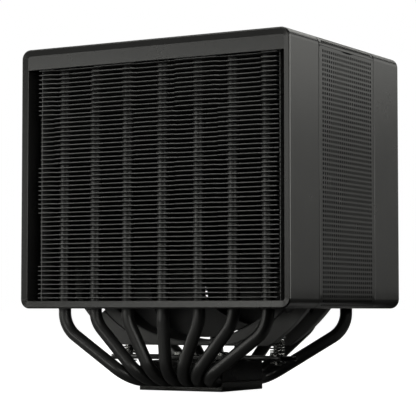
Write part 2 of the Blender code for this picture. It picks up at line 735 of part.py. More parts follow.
def fan_motor():
    """The motor's fixed pieces: sleeve, laminated core, four coils and a circuit board."""
    pieces = []
    centre = (0.0, FAN_REAR, FAN_Z)
    sleeve_rear = -SEAT_THICKNESS - 0.0005
    pieces.append(turned("bearing_sleeve",
                         ring_profile(SLEEVE_RADIUS, SLEEVE_BORE, -POST_LENGTH, sleeve_rear), 20,
                         BRASS, centre, "Y", closed=True))
    core_rear = FAN_REAR - 0.0085
    core_front = core_rear - CORE_DEPTH
    bore = circle(0.0, FAN_Z, POST_RADIUS + GAP, 20)
    pieces.append(outline_plate("stator_core", [core_outline(), bore], core_front, core_rear, STEEL))
    for number in range(1, 5):
        pieces.append(stator_coil(number, core_front, core_rear))
    board_rear = -SEAT_THICKNESS - 0.001
    pieces.append(turned("motor_circuit_board",
                         ring_profile(BOARD_RADIUS, POST_RADIUS + GAP, board_rear - BOARD_THICKNESS,
                                      board_rear),
                         32, BOARD_GREEN, centre, "Y", closed=True))
    return pieces


def core_outline():
    """Four poles with arc-shaped shoes round a small hub."""
    shoe_half = 34.0
    hub_angle = math.degrees(math.asin(CORE_ARM / CORE_HUB))
    shoe_angle = math.degrees(math.asin(CORE_ARM / CORE_SHOE))
    loop = []
    for quarter in range(4):
        middle = 90.0 * quarter
        loop += arc(0.0, FAN_Z, CORE_HUB, middle - hub_angle, middle, 1)[:1]
        loop += arc(0.0, FAN_Z, CORE_SHOE, middle - shoe_angle, middle - shoe_half, 2)
        loop += arc(0.0, FAN_Z, CORE_TIP, middle - shoe_half, middle + shoe_half, 6)
        loop += arc(0.0, FAN_Z, CORE_SHOE, middle + shoe_half, middle + shoe_angle, 2)
        loop += arc(0.0, FAN_Z, CORE_HUB, middle + hub_angle, middle + 90.0 - hub_angle, 3)[:-1]
    return loop


def stator_coil(number, y0, y1):
    """A rectangular winding round one pole's arm."""
    angle = -math.pi / 2 * (number - 1)
    place = Matrix.Translation((0.0, (y0 + y1) / 2, FAN_Z)) @ Matrix.Rotation(angle, 4, "Y")
    half_y = (y1 - y0) / 2
    inner, outer = CORE_HUB + 0.0007, CORE_SHOE - 0.0007
    winding = 0.0018
    half_z = CORE_ARM + GAP
    coil = boxes(f"stator_coil_{number}",
                 [(inner, outer, -half_y - winding, half_y + winding,
                   -half_z - winding, half_z + winding)], COPPER_WIRE)
    coil.matrix_world = place
    window = boxes(f"coil_window_{number}",
                   [(inner / 2, 2 * outer, -half_y - GAP, half_y + GAP, -half_z, half_z)],
                   cutter=True)
    window.matrix_world = place
    combine(coil, window, "DIFFERENCE")
    return coil


def corner_pads():
    """Rubber pads on both faces of the fan, clear of its screw holes."""
    pads = []
    offset = GAP + PAD_THICKNESS / 2
    across, up = PAD_PLACE
    for label, y in (("front", FAN_FRONT - offset), ("rear", FAN_REAR + offset)):
        places = [(x, y, FAN_Z + z) for x in (-across, across) for z in (-up, up)]
        for number, place in enumerate(places, start=1):
            pads.append(rods(f"{label}_fan_pad_{number}", [place], PAD_RADIUS, PAD_THICKNESS, 14,
                             "Y", RUBBER))
    return pads


# ---------------------------------------------------------------- mounting hardware
def crossbar():
    """The bar that presses the base down, with holes for its screws."""
    half = BAR_LENGTH / 2
    corner = BAR_WIDTH / 2
    loop = arc(half - corner, 0.0, corner, -90, 90, 8) + arc(-half + corner, 0.0, corner, 90, 270, 8)
    holes = [circle(side * SCREW_X, 0.0, SCREW_HOLE, 12) for side in (-1, 1)]
    holes += [circle(side * FIXING_X, 0.0, FIXING_RADIUS + GAP, 12) for side in (-1, 1)]
    bar = outline_plate("crossbar", [loop] + holes, -BAR_THICKNESS / 2, BAR_THICKNESS / 2, STEEL)
    bar.data.transform(Matrix.Translation((0.0, 0.0, BAR_BOTTOM + BAR_THICKNESS / 2))
                       @ Matrix.Rotation(math.pi / 2, 4, "X"))
    for number, side in enumerate((-1, 1), start=1):
        pad_x = sorted(side * x for x in SEAT_PAD_X)
        pad = boxes(f"seat_pad_{number}", [(*pad_x, -SEAT_PAD_HALF_WIDTH, SEAT_PAD_HALF_WIDTH,
                                            SEAT_PAD_BOTTOM, BAR_BOTTOM + 0.0005)], cutter=True)
        combine(bar, pad, "UNION")
    head_radius, head_height = FIXING_HEAD
    low = BAR_TOP + GAP
    high = low + head_height
    edge = 0.0004
    profile = [(0.0, high), (head_radius - edge, high), (head_radius, high - edge),
               (head_radius, low), (FIXING_RADIUS, low), (FIXING_RADIUS, FIXING_TIP_Z),
               (0.0, FIXING_TIP_Z)]
    for number, side in enumerate((-1, 1), start=1):
        turned(f"crossbar_fixing_screw_{number}", profile, 16, STEEL, (side * FIXING_X, 0.0, 0.0))


def sprung_screw(label, side):
    """A captive screw, the spring under its head and the clip that keeps it in the bar."""
    x = side * SCREW_X
    low = SPRING_TOP + GAP
    flange_radius, flange_height = SCREW_FLANGE
    head_radius, head_height = SCREW_HEAD
    shoulder = low + flange_height
    high = low + head_height
    groove_top = BAR_BOTTOM - GAP
    groove_low = groove_top - CLIP_THICKNESS - 2 * GAP
    neck = SCREW_RADIUS - 0.0005
    edge = 0.0004
    profile = [(0.0, high), (head_radius - edge, high), (head_radius, high - edge),
               (head_radius, shoulder), (flange_radius, shoulder), (flange_radius, low),
               (SCREW_RADIUS, low), (SCREW_RADIUS, groove_top), (neck, groove_top),
               (neck, groove_low), (SCREW_RADIUS, groove_low),
               (SCREW_RADIUS, SCREW_TIP_Z + edge), (SCREW_RADIUS - edge, SCREW_TIP_Z),
               (0.0, SCREW_TIP_Z)]
    screw = turned(f"{label}_mounting_screw", profile, 16, STEEL, (x, 0.0, 0.0))
    length, width, depth = DRIVE_SLOT
    floor, above = high - depth, high + depth
    drive = boxes(f"{label}_drive_slot", [(x - length, x + length, -width, width, floor, above)],
                  cutter=True)
    combine(screw, drive, "DIFFERENCE")
    cross = boxes(f"{label}_drive_cross", [(x - width, x + width, -length, length, floor, above)],
                  cutter=True)
    combine(screw, cross, "DIFFERENCE")
    spring = tube(f"{label}_spring", spring_path(x), SPRING_WIRE, STEEL)
    clip_middle = (groove_top + groove_low) / 2
    clip = clip_plate(f"{label}_retaining_clip", x, neck + GAP, clip_middle)
    return screw, spring, clip


def spring_path(x):
    """A helix with close end turns."""
    low = BAR_TOP + GAP + SPRING_WIRE
    high = SPRING_TOP - SPRING_WIRE
    per_turn = 9
    count = int(SPRING_TURNS * per_turn)
    path = []
    for index in range(count + 1):
        part = index / count
        rise = part - 0.45 * math.sin(2 * math.pi * part) / (2 * math.pi)
        angle = 2 * math.pi * SPRING_TURNS * part
        path.append((x + SPRING_RADIUS * math.cos(angle), SPRING_RADIUS * math.sin(angle),
                     low + (high - low) * rise))
    return path


def clip_plate(name, x, bore, middle_z):
    """A C-shaped clip in the screw's groove."""
    ring = arc(0.0, 0.0, CLIP_RADIUS, -60, 240, 14) + arc(0.0, 0.0, bore, 240, -60, 14)
    half = CLIP_THICKNESS / 2
    clip = outline_plate(name, [ring], -half, half, STEEL)
    clip.data.transform(Matrix.Translation((x, 0.0, middle_z)) @ Matrix.Rotation(-math.pi / 2, 4, "X"))
    return clip


# ---------------------------------------------------------------- assembly
base()
for pipe_number, pipe_slot in enumerate(pipe_slots(), start=1):
    heat_pipe(pipe_number, pipe_slot)
fin_stack("front_fin_stack", FRONT_STACK_Y, FRONT_LEG_Y)
fin_stack("rear_fin_stack", REAR_STACK_Y, REAR_LEG_Y)
shroud_frame("front_frame", BODY_FRONT, 1)
shroud_frame("rear_frame", BODY_REAR, -1)
side_panel("left_mesh_panel", -1)
side_panel("right_mesh_panel", 1)
lid_pieces = [top_lid()] + magnets()
crossbar()

for screw_label, screw_side in (("left", -1), ("right", 1)):
    screw_axis = empty(f"{screw_label}_screw_axis", (screw_side * SCREW_X, 0.0, BAR_TOP))
    carry(screw_axis, sprung_screw(screw_label, screw_side))

fan_pieces = [fan_frame()] + fan_motor() + corner_pads()
fan_slide = empty("fan_slide", (0.0, FAN_Y, FAN_Z))
carry(fan_slide, fan_pieces)
rotor_axis = empty("rotor_axis", (0.0, FAN_Y, FAN_Z))
carry(rotor_axis, fan_rotor())
carry(empty("lid_lift", (0.0, (BAND_FRONT + BAND_REAR) / 2, LID_SEAM_Z)), lid_pieces)
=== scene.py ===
"""The looks of a twin-tower processor air cooler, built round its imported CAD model.

Metres, +Z up. The cooler stands on its cold plate and its intake face looks along -Y. Every part that
shows is rebuilt as a fine mesh in the place that its CAD solid holds, and rides on the same body. The
motor's inner parts stay CAD solids and take finer materials.
"""
import json
import math

import bmesh
import bpy
from mathutils import Matrix, Vector


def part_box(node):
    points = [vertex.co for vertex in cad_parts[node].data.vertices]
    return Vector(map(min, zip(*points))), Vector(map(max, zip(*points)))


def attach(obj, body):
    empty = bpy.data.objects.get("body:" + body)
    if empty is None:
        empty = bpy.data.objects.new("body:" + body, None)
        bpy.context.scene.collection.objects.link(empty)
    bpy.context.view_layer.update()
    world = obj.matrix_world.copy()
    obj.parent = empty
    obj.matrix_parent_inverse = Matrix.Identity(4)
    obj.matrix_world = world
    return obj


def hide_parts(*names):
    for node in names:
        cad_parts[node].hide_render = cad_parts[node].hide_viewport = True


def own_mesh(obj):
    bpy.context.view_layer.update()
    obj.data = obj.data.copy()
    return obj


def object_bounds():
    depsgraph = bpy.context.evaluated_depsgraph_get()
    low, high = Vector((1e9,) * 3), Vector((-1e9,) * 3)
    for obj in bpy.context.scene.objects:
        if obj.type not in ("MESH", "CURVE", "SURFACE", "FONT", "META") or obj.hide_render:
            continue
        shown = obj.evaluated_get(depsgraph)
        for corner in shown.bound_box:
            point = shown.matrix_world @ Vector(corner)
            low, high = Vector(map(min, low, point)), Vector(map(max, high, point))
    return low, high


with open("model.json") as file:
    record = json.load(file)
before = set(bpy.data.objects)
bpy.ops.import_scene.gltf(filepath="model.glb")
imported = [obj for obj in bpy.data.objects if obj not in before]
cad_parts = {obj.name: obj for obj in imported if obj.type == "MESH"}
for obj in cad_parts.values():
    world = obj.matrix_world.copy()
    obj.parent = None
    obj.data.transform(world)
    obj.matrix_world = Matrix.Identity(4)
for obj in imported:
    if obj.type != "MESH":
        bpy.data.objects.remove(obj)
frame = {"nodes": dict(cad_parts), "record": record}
NODES = frame["nodes"]
CAD_LOW, CAD_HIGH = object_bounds()

# ---------------------------------------------------------------- places taken from the frame
FRONT_LOW, FRONT_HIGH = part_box("front_frame")
LID_LOW, LID_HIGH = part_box("top_mesh_lid")
FAN_LOW, FAN_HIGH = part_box("fan_frame")
HALF_WIDTH = FRONT_HIGH.x
BODY_BOTTOM, BODY_TOP = FRONT_LOW.z, FRONT_HIGH.z
FACE_FRONT, FACE_REAR = FRONT_LOW.y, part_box("rear_frame")[1].y
BAND_FRONT, BAND_REAR = LID_LOW.y, LID_HIGH.y
FAN_Z = (FAN_LOW.z + FAN_HIGH.z) / 2

# ---------------------------------------------------------------- driving dimensions
BODY_CORNER = 0.0046
FRAME_WALL = 0.0029
SEAM = 0.0007
DISH = 0.0008               # how far the rims slope in
SIDE_RIM = 0.00315
BOTTOM_RIM = 0.0034
TOP_RIM = 0.0032
TOP_BAND = 0.0100           # from the top down to the window
FACE_THICKNESS = 0.0012
LIP_DEPTH = 0.0026
EDGE = 0.0007               # rounding of the outer edges
OPEN_BOTTOM_X = 0.0680
OPEN_BOTTOM_Z = 0.0425

SHEET = 0.0007              # thickness of the perforated sheet
HOLE_PITCH = 0.002167
HOLE_HALF = 0.00068
HOLE_HALF_ACROSS = 0.00057   # along the airflow
HOLE_CORNER = 0.00022
HOLE_COLUMNS = 24
COLUMN_PITCH = 0.002235
SIDE_TOP_HOLE = 0.0069      # from the body's top to the middle of the first row
SIDE_ROWS = 55
LID_FIRST_HOLE = 0.00217
LID_ROWS = 69
UNDER_RETURN = 0.00215      # how far the side sheet runs on under the body
NOTCH_HALF = 0.0060
NOTCH_DEEP = 0.0007
NOTCH_Y = 0.0110

FIN_COUNT = 54              # the topmost one stands behind the band over the window
FIN_PITCH = 0.00215
FIN_LOWEST = 0.0419
FIN_THICKNESS = 0.00033
FIN_HALF = 0.0650
FIN_STEP = 0.0017           # depth of the steps in a fin's outer edge
FIN_STEP_X = (0.0113, 0.0341, 0.0565)
FIN_STEP_SLANT = 0.0008
FIN_BAND = 11               # fins between one change of the step pattern and the next
FIN_GAP = 0.0001
FLANGE = 0.0004
FLANGE_SETBACK = 0.0030     # from the outer edge
FLANGE_STOP = 0.0020        # short of the inner edge

PIPE_RADIUS = 0.0030
PIPE_X = (0.0, 0.0195, 0.0378, 0.0556)
PIPE_PITCH_BASE = 0.0065
PIPE_Z = 0.0050
PIPE_TOP = 0.1575
PIPE_TIP = 0.0040           # length of the necked tip
PIPE_PLAY = 0.00012         # round a pipe in its holes and grooves
FRONT_LEG_Y, REAR_LEG_Y = -0.0354, 0.0453
FRONT_TURN_Y, REAR_TURN_Y = -0.0321, 0.0304
KNEE_Z = (0.0330, 0.0335, 0.0330, 0.0300)
REAR_KNEE_DROP = 0.0010
KNEE_BEND, FOOT_BEND = 0.0140, 0.0110

FAN_CORNER = 0.0814
FAN_DUCT = 0.0675
FAN_FLANGE = 0.0038
FAN_HOLE_HALF = 0.0525
FAN_HOLE = 0.0022
HUB_RADIUS = 0.0215
BLADE_COUNT = 9
BLADE_TIP = 0.0660
BLADE_SPAN = math.radians(47.0)
BLADE_SWEEP = math.radians(28.0)
BLADE_START = math.radians(4.0)
BLADE_THICKNESS = 0.0016
BLADE_DEPTH = 0.0150
STRUT_COUNT = 7
STRUT_START = math.radians(12.0)
STRUT_LEAN = 0.28
GROOVE_RADIUS = 0.0731      # a ring groove round the fan's mouth
GROOVE_HALF = 0.0004
GROOVE_DEPTH = 0.0008

SCREW_X = 0.0415
FIXING_SCREW_X = 0.0120
BAR_BOTTOM = 0.0143
SCREW_HOLE, FIXING_HOLE = 0.0023, 0.0018
PAD_X = (0.0463, 0.0496)    # the pads under the bar's ends
PAD_HALF = 0.0032
SPRING_RADIUS = 0.0034
SPRING_WIRE = 0.0003
SPRING_TURNS = 8.0


# ---------------------------------------------------------------- materials
def finish(name, colour, roughness, metallic=0.0, specular=0.5, grain=3000.0, bump=0.06,
           mottle=0.15, gloss_spread=0.08, stretch=(1.0, 1.0, 1.0), coat=0.0):
    """A surface with fine grain in its relief and soft patches in its colour and gloss."""
    material = bpy.data.materials.new(name)
    material.use_nodes = True
    nodes, links = material.node_tree.nodes, material.node_tree.links
    shader = nodes["Principled BSDF"]
    shader.inputs["Metallic"].default_value = metallic
    shader.inputs["Specular IOR Level"].default_value = specular
    shader.inputs["Coat Weight"].default_value = coat
    shader.inputs["Coat Roughness"].default_value = 0.2
    place = nodes.new("ShaderNodeTexCoord")
    scaled = nodes.new("ShaderNodeMapping")
    scaled.inputs["Scale"].default_value = stretch
    links.new(place.outputs["Object"], scaled.inputs["Vector"])

    patches = nodes.new("ShaderNodeTexNoise")
    patches.inputs["Scale"].default_value = 60.0
    patches.inputs["Detail"].default_value = 4.0
    links.new(place.outputs["Object"], patches.inputs["Vector"])
    tone = nodes.new("ShaderNodeValToRGB")
    tone.color_ramp.elements[0].position = 0.3
    tone.color_ramp.elements[1].position = 0.7
    tone.color_ramp.elements[0].color = (*[c * (1.0 - mottle) for c in colour], 1.0)
    tone.color_ramp.elements[1].color = (*[min(1.0, c * (1.0 + mottle)) for c in colour], 1.0)
    links.new(patches.outputs["Fac"], tone.inputs["Fac"])
    links.new(tone.outputs["Color"], shader.inputs["Base Color"])

    fine = nodes.new("ShaderNodeTexNoise")
    fine.inputs["Scale"].default_value = grain
    fine.inputs["Detail"].default_value = 3.0
    links.new(scaled.outputs["Vector"], fine.inputs["Vector"])
    gloss = nodes.new("ShaderNodeMapRange")
    gloss.inputs["To Min"].default_value = roughness - gloss_spread
    gloss.inputs["To Max"].default_value = roughness + gloss_spread
    links.new(patches.outputs["Fac"], gloss.inputs["Value"])
    links.new(gloss.outputs["Result"], shader.inputs["Roughness"])
    relief = nodes.new("ShaderNodeBump")
    relief.inputs["Strength"].default_value = bump
    relief.inputs["Distance"].default_value = 0.0002
    links.new(fine.outputs["Fac"], relief.inputs["Height"])
    links.new(relief.outputs["Normal"], shader.inputs["Normal"])
    return material


FINISHES = {
    "shroud_black": finish("shroud_black", (0.009, 0.009, 0.009), 0.27, grain=4200, bump=0.05,
                           gloss_spread=0.012),
    "fin_black": finish("fin_black", (0.085, 0.085, 0.085), 0.40, grain=2500, bump=0.05),
    "pipe_black": finish("pipe_black", (0.011, 0.011, 0.011), 0.33, grain=1800, bump=0.05,
                         stretch=(1.0, 1.0, 0.2)),
    # The block is black. Its very low colour and weak specular also paint in the shade that the pipes
    # and the body above cast on its sides.
    "block_black": finish("block_black", (0.003, 0.003, 0.003), 0.25, specular=0.3, grain=3200,
                          bump=0.03),
    "plated_copper": finish("plated_copper", (0.08, 0.08, 0.078), 0.15, metallic=1.0, grain=900,
                            bump=0.08, stretch=(1.0, 12.0, 12.0)),
    "steel": finish("steel", (0.42, 0.42, 0.41), 0.26, metallic=1.0, grain=2200, bump=0.05,
                    stretch=(1.0, 1.0, 6.0)),
    # Hole walls of the perforated sheets: near black, matte, with weak specular. This is painted shade
    # in the holes, darker than the sheet's own paint.
    "painted_hole_shade": finish("painted_hole_shade", (0.002, 0.002, 0.002), 0.60, specular=0.1, grain=4200,
                           bump=0.1),
    "coated_bar": finish("coated_bar", (0.040, 0.040, 0.040), 0.24, metallic=1.0, grain=2600,
                         bump=0.05),
    "fan_plastic": finish("fan_plastic", (0.100, 0.100, 0.100), 0.45, grain=3600, bump=0.07),
    "rubber": finish("rubber", (0.016, 0.016, 0.016), 0.80, specular=0.25, grain=5200, bump=0.2),
    "magnet": finish("magnet", (0.62, 0.61, 0.59), 0.16, metallic=1.0, grain=1500, bump=0.02),
    "ferrite": finish("ferrite", (0.045, 0.040, 0.038), 0.70, grain=5200, bump=0.25),
    "bearing_brass": finish("bearing_brass", (0.62, 0.42, 0.17), 0.28, metallic=1.0, grain=1200,
                            bump=0.06, stretch=(1.0, 8.0, 1.0)),
    "copper_wire": finish("copper_wire", (0.60, 0.24, 0.09), 0.30, metallic=1.0, grain=700,
                          bump=0.5, stretch=(8.0, 1.0, 1.0)),
    "circuit_board": finish("circuit_board", (0.012, 0.085, 0.035), 0.35, grain=1600, bump=0.08,
                            coat=0.5),
}


# ---------------------------------------------------------------- mesh helpers
def piece(name, bm, slot, body, replaces=(), angle=32.0):
    """Turns a bmesh into a piece that rides on a body and takes the slot's finish."""
    bmesh.ops.remove_doubles(bm, verts=bm.verts, dist=1e-7)
    bmesh.ops.recalc_face_normals(bm, faces=bm.faces)
    mesh = bpy.data.meshes.new(name)
    bm.to_mesh(mesh)
    bm.free()
    return placed(name, mesh, slot, body, replaces, angle)


def placed(name, mesh, slot, body, replaces=(), angle=32.0):
    """Shades a mesh smooth but for its sharp edges, and places it in the scene."""
    mesh.materials.append(FINISHES[slot])
    mesh.polygons.foreach_set("use_smooth", [True] * len(mesh.polygons))
    mesh.set_sharp_from_angle(angle=math.radians(angle))
    made = bpy.data.objects.new(name, mesh)
    bpy.context.scene.collection.objects.link(made)
    even_normals(made)
    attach(made, body)
    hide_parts(*replaces)
    return made


def even_normals(made):
    """Keeps flat faces flat to the light where rounded edges meet them."""
    rough = made.data
    modifier = made.modifiers.new("even_normals", "WEIGHTED_NORMAL")
    modifier.keep_sharp = True
    graph = bpy.context.evaluated_depsgraph_get()
    made.data = bpy.data.meshes.new_from_object(made.evaluated_get(graph))
    made.modifiers.clear()
    bpy.data.meshes.remove(rough)
    made.data.name = made.name


def join_rings(bm, rings, closed=False, caps=False):
    """Quads between rings of equally many points. Closed joins the last ring to the first."""
    rows = [[bm.verts.new(point) for point in ring] for ring in rings]
    pairs = list(zip(rows, rows[1:]))
    if closed:
        pairs.append((rows[-1], rows[0]))
    for near, far in pairs:
        for here in range(len(near)):
            there = (here + 1) % len(near)
            bm.faces.new((near[here], near[there], far[there], far[here]))
    if caps:
        bm.faces.new(rows[0])
        bm.faces.new(rows[-1])
    return rows


def box(bm, x0, x1, y0, y1, z0, z1):
    """A rectangular block."""
    place = (Matrix.Translation(((x0 + x1) / 2, (y0 + y1) / 2, (z0 + z1) / 2))
             @ Matrix.Diagonal((abs(x1 - x0), abs(y1 - y0), abs(z1 - z0), 1.0)))
    return bmesh.ops.create_cube(bm, size=1.0, matrix=place)["verts"]


def bevelled_box(bm, x0, x1, y0, y1, z0, z1, width, segments=2):
    """A block with rounded edges."""
    verts = box(bm, x0, x1, y0, y1, z0, z1)
    edges = {edge for vert in verts for edge in vert.link_edges}
    bmesh.ops.bevel(bm, geom=list(edges), offset=width, segments=segments, profile=0.5,
                    affect="EDGES")


def lathe(bm, profile, sides, centre, along="Z", closed=False):
    """Spins a profile of (radius, height) points. Its poles are where the radius is nothing."""
    rows = []
    for radius, height in profile:
        count = sides if radius > 0 else 1
        row = []
        for index in range(count):
            turn = 2 * math.pi * index / sides
            u, v = radius * math.cos(turn), radius * math.sin(turn)
            spot = (u, v, height) if along == "Z" else (u, height, v)
            row.append(bm.verts.new(Vector(spot) + Vector(centre)))
        rows.append(row)
    pairs = list(zip(rows, rows[1:]))
    if closed:
        pairs.append((rows[-1], rows[0]))
    for low, high in pairs:
        for here in range(sides):
            there = (here + 1) % sides
            corners = [low[here % len(low)], low[there % len(low)],
                       high[there % len(high)], high[here % len(high)]]
            faces = list(dict.fromkeys(corners))
            if len(faces) > 2:
                bm.faces.new(faces)
    return rows


def cylinder(bm, x, y, z, radius, length, sides=24, along="Z"):
    """A plain rod, used to cut round holes."""
    half = length / 2
    profile = [(0.0, -half), (radius, -half), (radius, half), (0.0, half)]
    lathe(bm, profile, sides, (x, y, z), along)


def carve(bm, cutter, operation="DIFFERENCE"):
    """Cuts one bmesh with another, or joins them, and returns the result."""
    objects = []
    for source in (bm, cutter):
        bmesh.ops.recalc_face_normals(source, faces=source.faces)
        mesh = bpy.data.meshes.new("carving")
        source.to_mesh(mesh)
        source.free()
        objects.append(bpy.data.objects.new("carving", mesh))
        bpy.context.scene.collection.objects.link(objects[-1])
    body, tool = objects
    modifier = body.modifiers.new("carve", "BOOLEAN")
    modifier.operation = operation
    modifier.solver = "EXACT"
    modifier.object = tool
    graph = bpy.context.evaluated_depsgraph_get()
    result = bmesh.new()
    result.from_mesh(body.evaluated_get(graph).to_mesh())
    for made in objects:
        mesh = made.data
        bpy.data.objects.remove(made)
        bpy.data.meshes.remove(mesh)
    return result


def arc(radius, start, end, steps):
    """Points of an arc about nothing, in degrees."""
    turns = [math.radians(start + (end - start) * step / steps) for step in range(steps + 1)]
    return [(radius * math.cos(turn), radius * math.sin(turn)) for turn in turns]


# ---------------------------------------------------------------- shroud frames
def body_ring(depth, inset_side, inset_bottom, inset_top, radius, face_y, inward, steps=8):
    """One ring round a shroud frame, at a depth behind its face and inside the body's outline."""
    half = HALF_WIDTH - inset_side
    low, high = BODY_BOTTOM + inset_bottom, BODY_TOP - inset_top
    y = face_y + inward * depth
    ring = []
    for x, z, start in ((half - radius, high - radius, 0), (-half + radius, high - radius, 90),
                        (-half + radius, low + radius, 180), (half - radius, low + radius, 270)):
        ring += [Vector((x + dx, y, z + dz)) for dx, dz in arc(radius, start, start + 90, steps)]
    return ring


def shroud_frame(name, face_y, inward, back_y):
    """A frame with dished rims, a window, thin walls and an underside open to the pipes."""
    length = abs(back_y - face_y)
    bevel = 0.00018
    outer = BODY_CORNER
    inner = outer - SIDE_RIM
    window = 0.0005
    pocket = outer - FRAME_WALL
    back = DISH + FACE_THICKNESS
    profile = [(length - bevel, 0, 0, 0, outer)]
    for step in range(9):
        turn = math.radians(90 * step / 8)
        drop, inset = EDGE * (1 - math.sin(turn)), EDGE * (1 - math.cos(turn))
        profile.append((drop, inset, inset, inset, outer - inset))
    profile += [
        (DISH, SIDE_RIM, BOTTOM_RIM, TOP_RIM, inner),
        (DISH + 0.00002, SIDE_RIM + 0.0001, BOTTOM_RIM + 0.0001, TOP_BAND - 0.0001, window + 0.0001),
        (DISH + 0.00012, SIDE_RIM + 0.0002, BOTTOM_RIM + 0.0002, TOP_BAND, window),
        (back, SIDE_RIM + 0.0002, BOTTOM_RIM + 0.0002, TOP_BAND, window),
        (back, FRAME_WALL, FRAME_WALL, FRAME_WALL, pocket),
        (length, FRAME_WALL, FRAME_WALL, FRAME_WALL, pocket),
        (length, bevel, bevel, bevel, outer - bevel),
    ]
    bm = bmesh.new()
    join_rings(bm, [body_ring(*row, face_y, inward) for row in profile], closed=True)
    cut = bmesh.new()
    y0, y1 = sorted((face_y + inward * LIP_DEPTH, face_y + inward * (length + 0.01)))
    box(cut, -OPEN_BOTTOM_X, OPEN_BOTTOM_X, y0, y1, BODY_BOTTOM - 0.01, OPEN_BOTTOM_Z)
    return piece(name, carve(bm, cut), "shroud_black", "cooler", [name], angle=12.0)


# ---------------------------------------------------------------- perforated sheets
def sheet_lines(start, end, tiles, first, pitch, bend_from=None, bend_to=None):
    """Places of the lines across a sheet as (place, drop, tile), tile true where a hole follows."""
    bevel = 0.00015
    grid_end = first + pitch * tiles
    places = {start: bevel, start + bevel: 0.0, end - bevel: 0.0, end: bevel}
    if bend_from is not None:
        step = 0.0008
        spot = max(grid_end, bend_from) + step
        while spot < min(bend_to, end - bevel) - step / 2:
            places[spot] = 0.0
            spot += step
    lines = [(place, drop, False) for place, drop in places.items()
             if place < first - 1e-6 or place > grid_end + 1e-6]
    lines += [(first + pitch * index, 0.0, index < tiles) for index in range(tiles + 1)]
    return sorted(lines)


def perforated(bm, surface, rows, columns, warp=None):
    """A sheet with square holes. surface(s, y, depth) places a point; rows and columns are its lines."""
    def point(s, y, drop, inner):
        shift = warp(s, y) if warp else 0.0
        return surface(s + shift, y, SHEET if inner else drop)

    layers = []
    for inner in (False, True):
        grid = [[bm.verts.new(point(s, y, max(drop_s, drop_y), inner)) for y, drop_y, _ in columns]
                for s, drop_s, _ in rows]
        layers.append(grid)
    a, b = HOLE_HALF, HOLE_HALF_ACROSS
    c, d = a - HOLE_CORNER, b - HOLE_CORNER
    hole = [(-a, -d), (-a, d), (-c, b), (c, b), (a, d), (a, -d), (c, -b), (-c, -b)]
    for i in range(len(rows) - 1):
        for j in range(len(columns) - 1):
            corners = [[grid[i][j], grid[i][j + 1], grid[i + 1][j + 1], grid[i + 1][j]]
                       for grid in layers]
            if not (rows[i][2] and columns[j][2]):
                for quad in corners:
                    bm.faces.new(quad)
                continue
            middle_s = (rows[i][0] + rows[i + 1][0]) / 2
            middle_y = (columns[j][0] + columns[j + 1][0]) / 2
            rims = []
            for inner, quad in enumerate(corners):
                rim = [bm.verts.new(point(middle_s + ds, middle_y + dy, 0.0, inner))
                       for ds, dy in hole]
                rims.append(rim)
                p, q, r, t = quad
                for face in ((p, q, rim[1], rim[0]), (q, rim[2], rim[1]), (q, r, rim[3], rim[2]),
                             (r, rim[4], rim[3]), (r, t, rim[5], rim[4]), (t, rim[6], rim[5]),
                             (t, p, rim[7], rim[6]), (p, rim[0], rim[7])):
                    bm.faces.new(face)
            # The walls of each hole take the second slot: painted shade in the holes.
            for k in range(8):
                n = (k + 1) % 8
                wall = bm.faces.new((rims[0][k], rims[0][n], rims[1][n], rims[1][k]))
                wall.material_index = 1
    outer, inner = layers
    last_i, last_j = len(rows) - 1, len(columns) - 1
    edge = [(i, 0) for i in range(last_i)] + [(last_i, j) for j in range(last_j)]
    edge += [(i, last_j) for i in range(last_i, 0, -1)] + [(0, j) for j in range(last_j, 0, -1)]
    for here, there in zip(edge, edge[1:] + edge[:1]):
        bm.faces.new((outer[here[0]][here[1]], outer[there[0]][there[1]],
                      inner[there[0]][there[1]], inner[here[0]][here[1]]))


def hole_columns():
    """The lines across the band between the two frames."""
    span = COLUMN_PITCH * HOLE_COLUMNS
    first = (BAND_FRONT + BAND_REAR - span) / 2
    return sheet_lines(BAND_FRONT, BAND_REAR, HOLE_COLUMNS, first, COLUMN_PITCH)


def side_panel(name, side):
    """Perforated side sheet: flat, then turned under at the body's lower edge."""
    top = LID_LOW.z
    bend = top - (BODY_BOTTOM + BODY_CORNER)
    quarter = BODY_CORNER * math.pi / 2

    def surface(s, y, depth):
        if s <= bend:
            return Vector((side * (HALF_WIDTH - depth), y, top - s))
        turn = min(s - bend, quarter) / BODY_CORNER
        reach = BODY_CORNER - depth
        x = HALF_WIDTH - BODY_CORNER + reach * math.cos(turn) - max(0.0, s - bend - quarter)
        return Vector((side * x, y, BODY_BOTTOM + BODY_CORNER - reach * math.sin(turn)))

    def notch(s, y):
        part = (y - NOTCH_Y) / NOTCH_HALF
        if abs(part) >= 1.0 or s > NOTCH_DEEP:
            return 0.0
        return NOTCH_DEEP * math.sqrt(1.0 - part * part) * (1.0 - s / (2 * NOTCH_DEEP))

    first = SIDE_TOP_HOLE - (BODY_TOP - top) - HOLE_PITCH / 2
    rows = sheet_lines(0.00006, bend + quarter + UNDER_RETURN, SIDE_ROWS, first, HOLE_PITCH,
                       bend, bend + quarter)
    bm = bmesh.new()
    perforated(bm, surface, rows, hole_columns(), notch)
    panel = piece(name, bm, "shroud_black", "cooler", [name])
    # Second slot: painted shade on the hole walls.
    panel.data.materials.append(FINISHES["painted_hole_shade"])


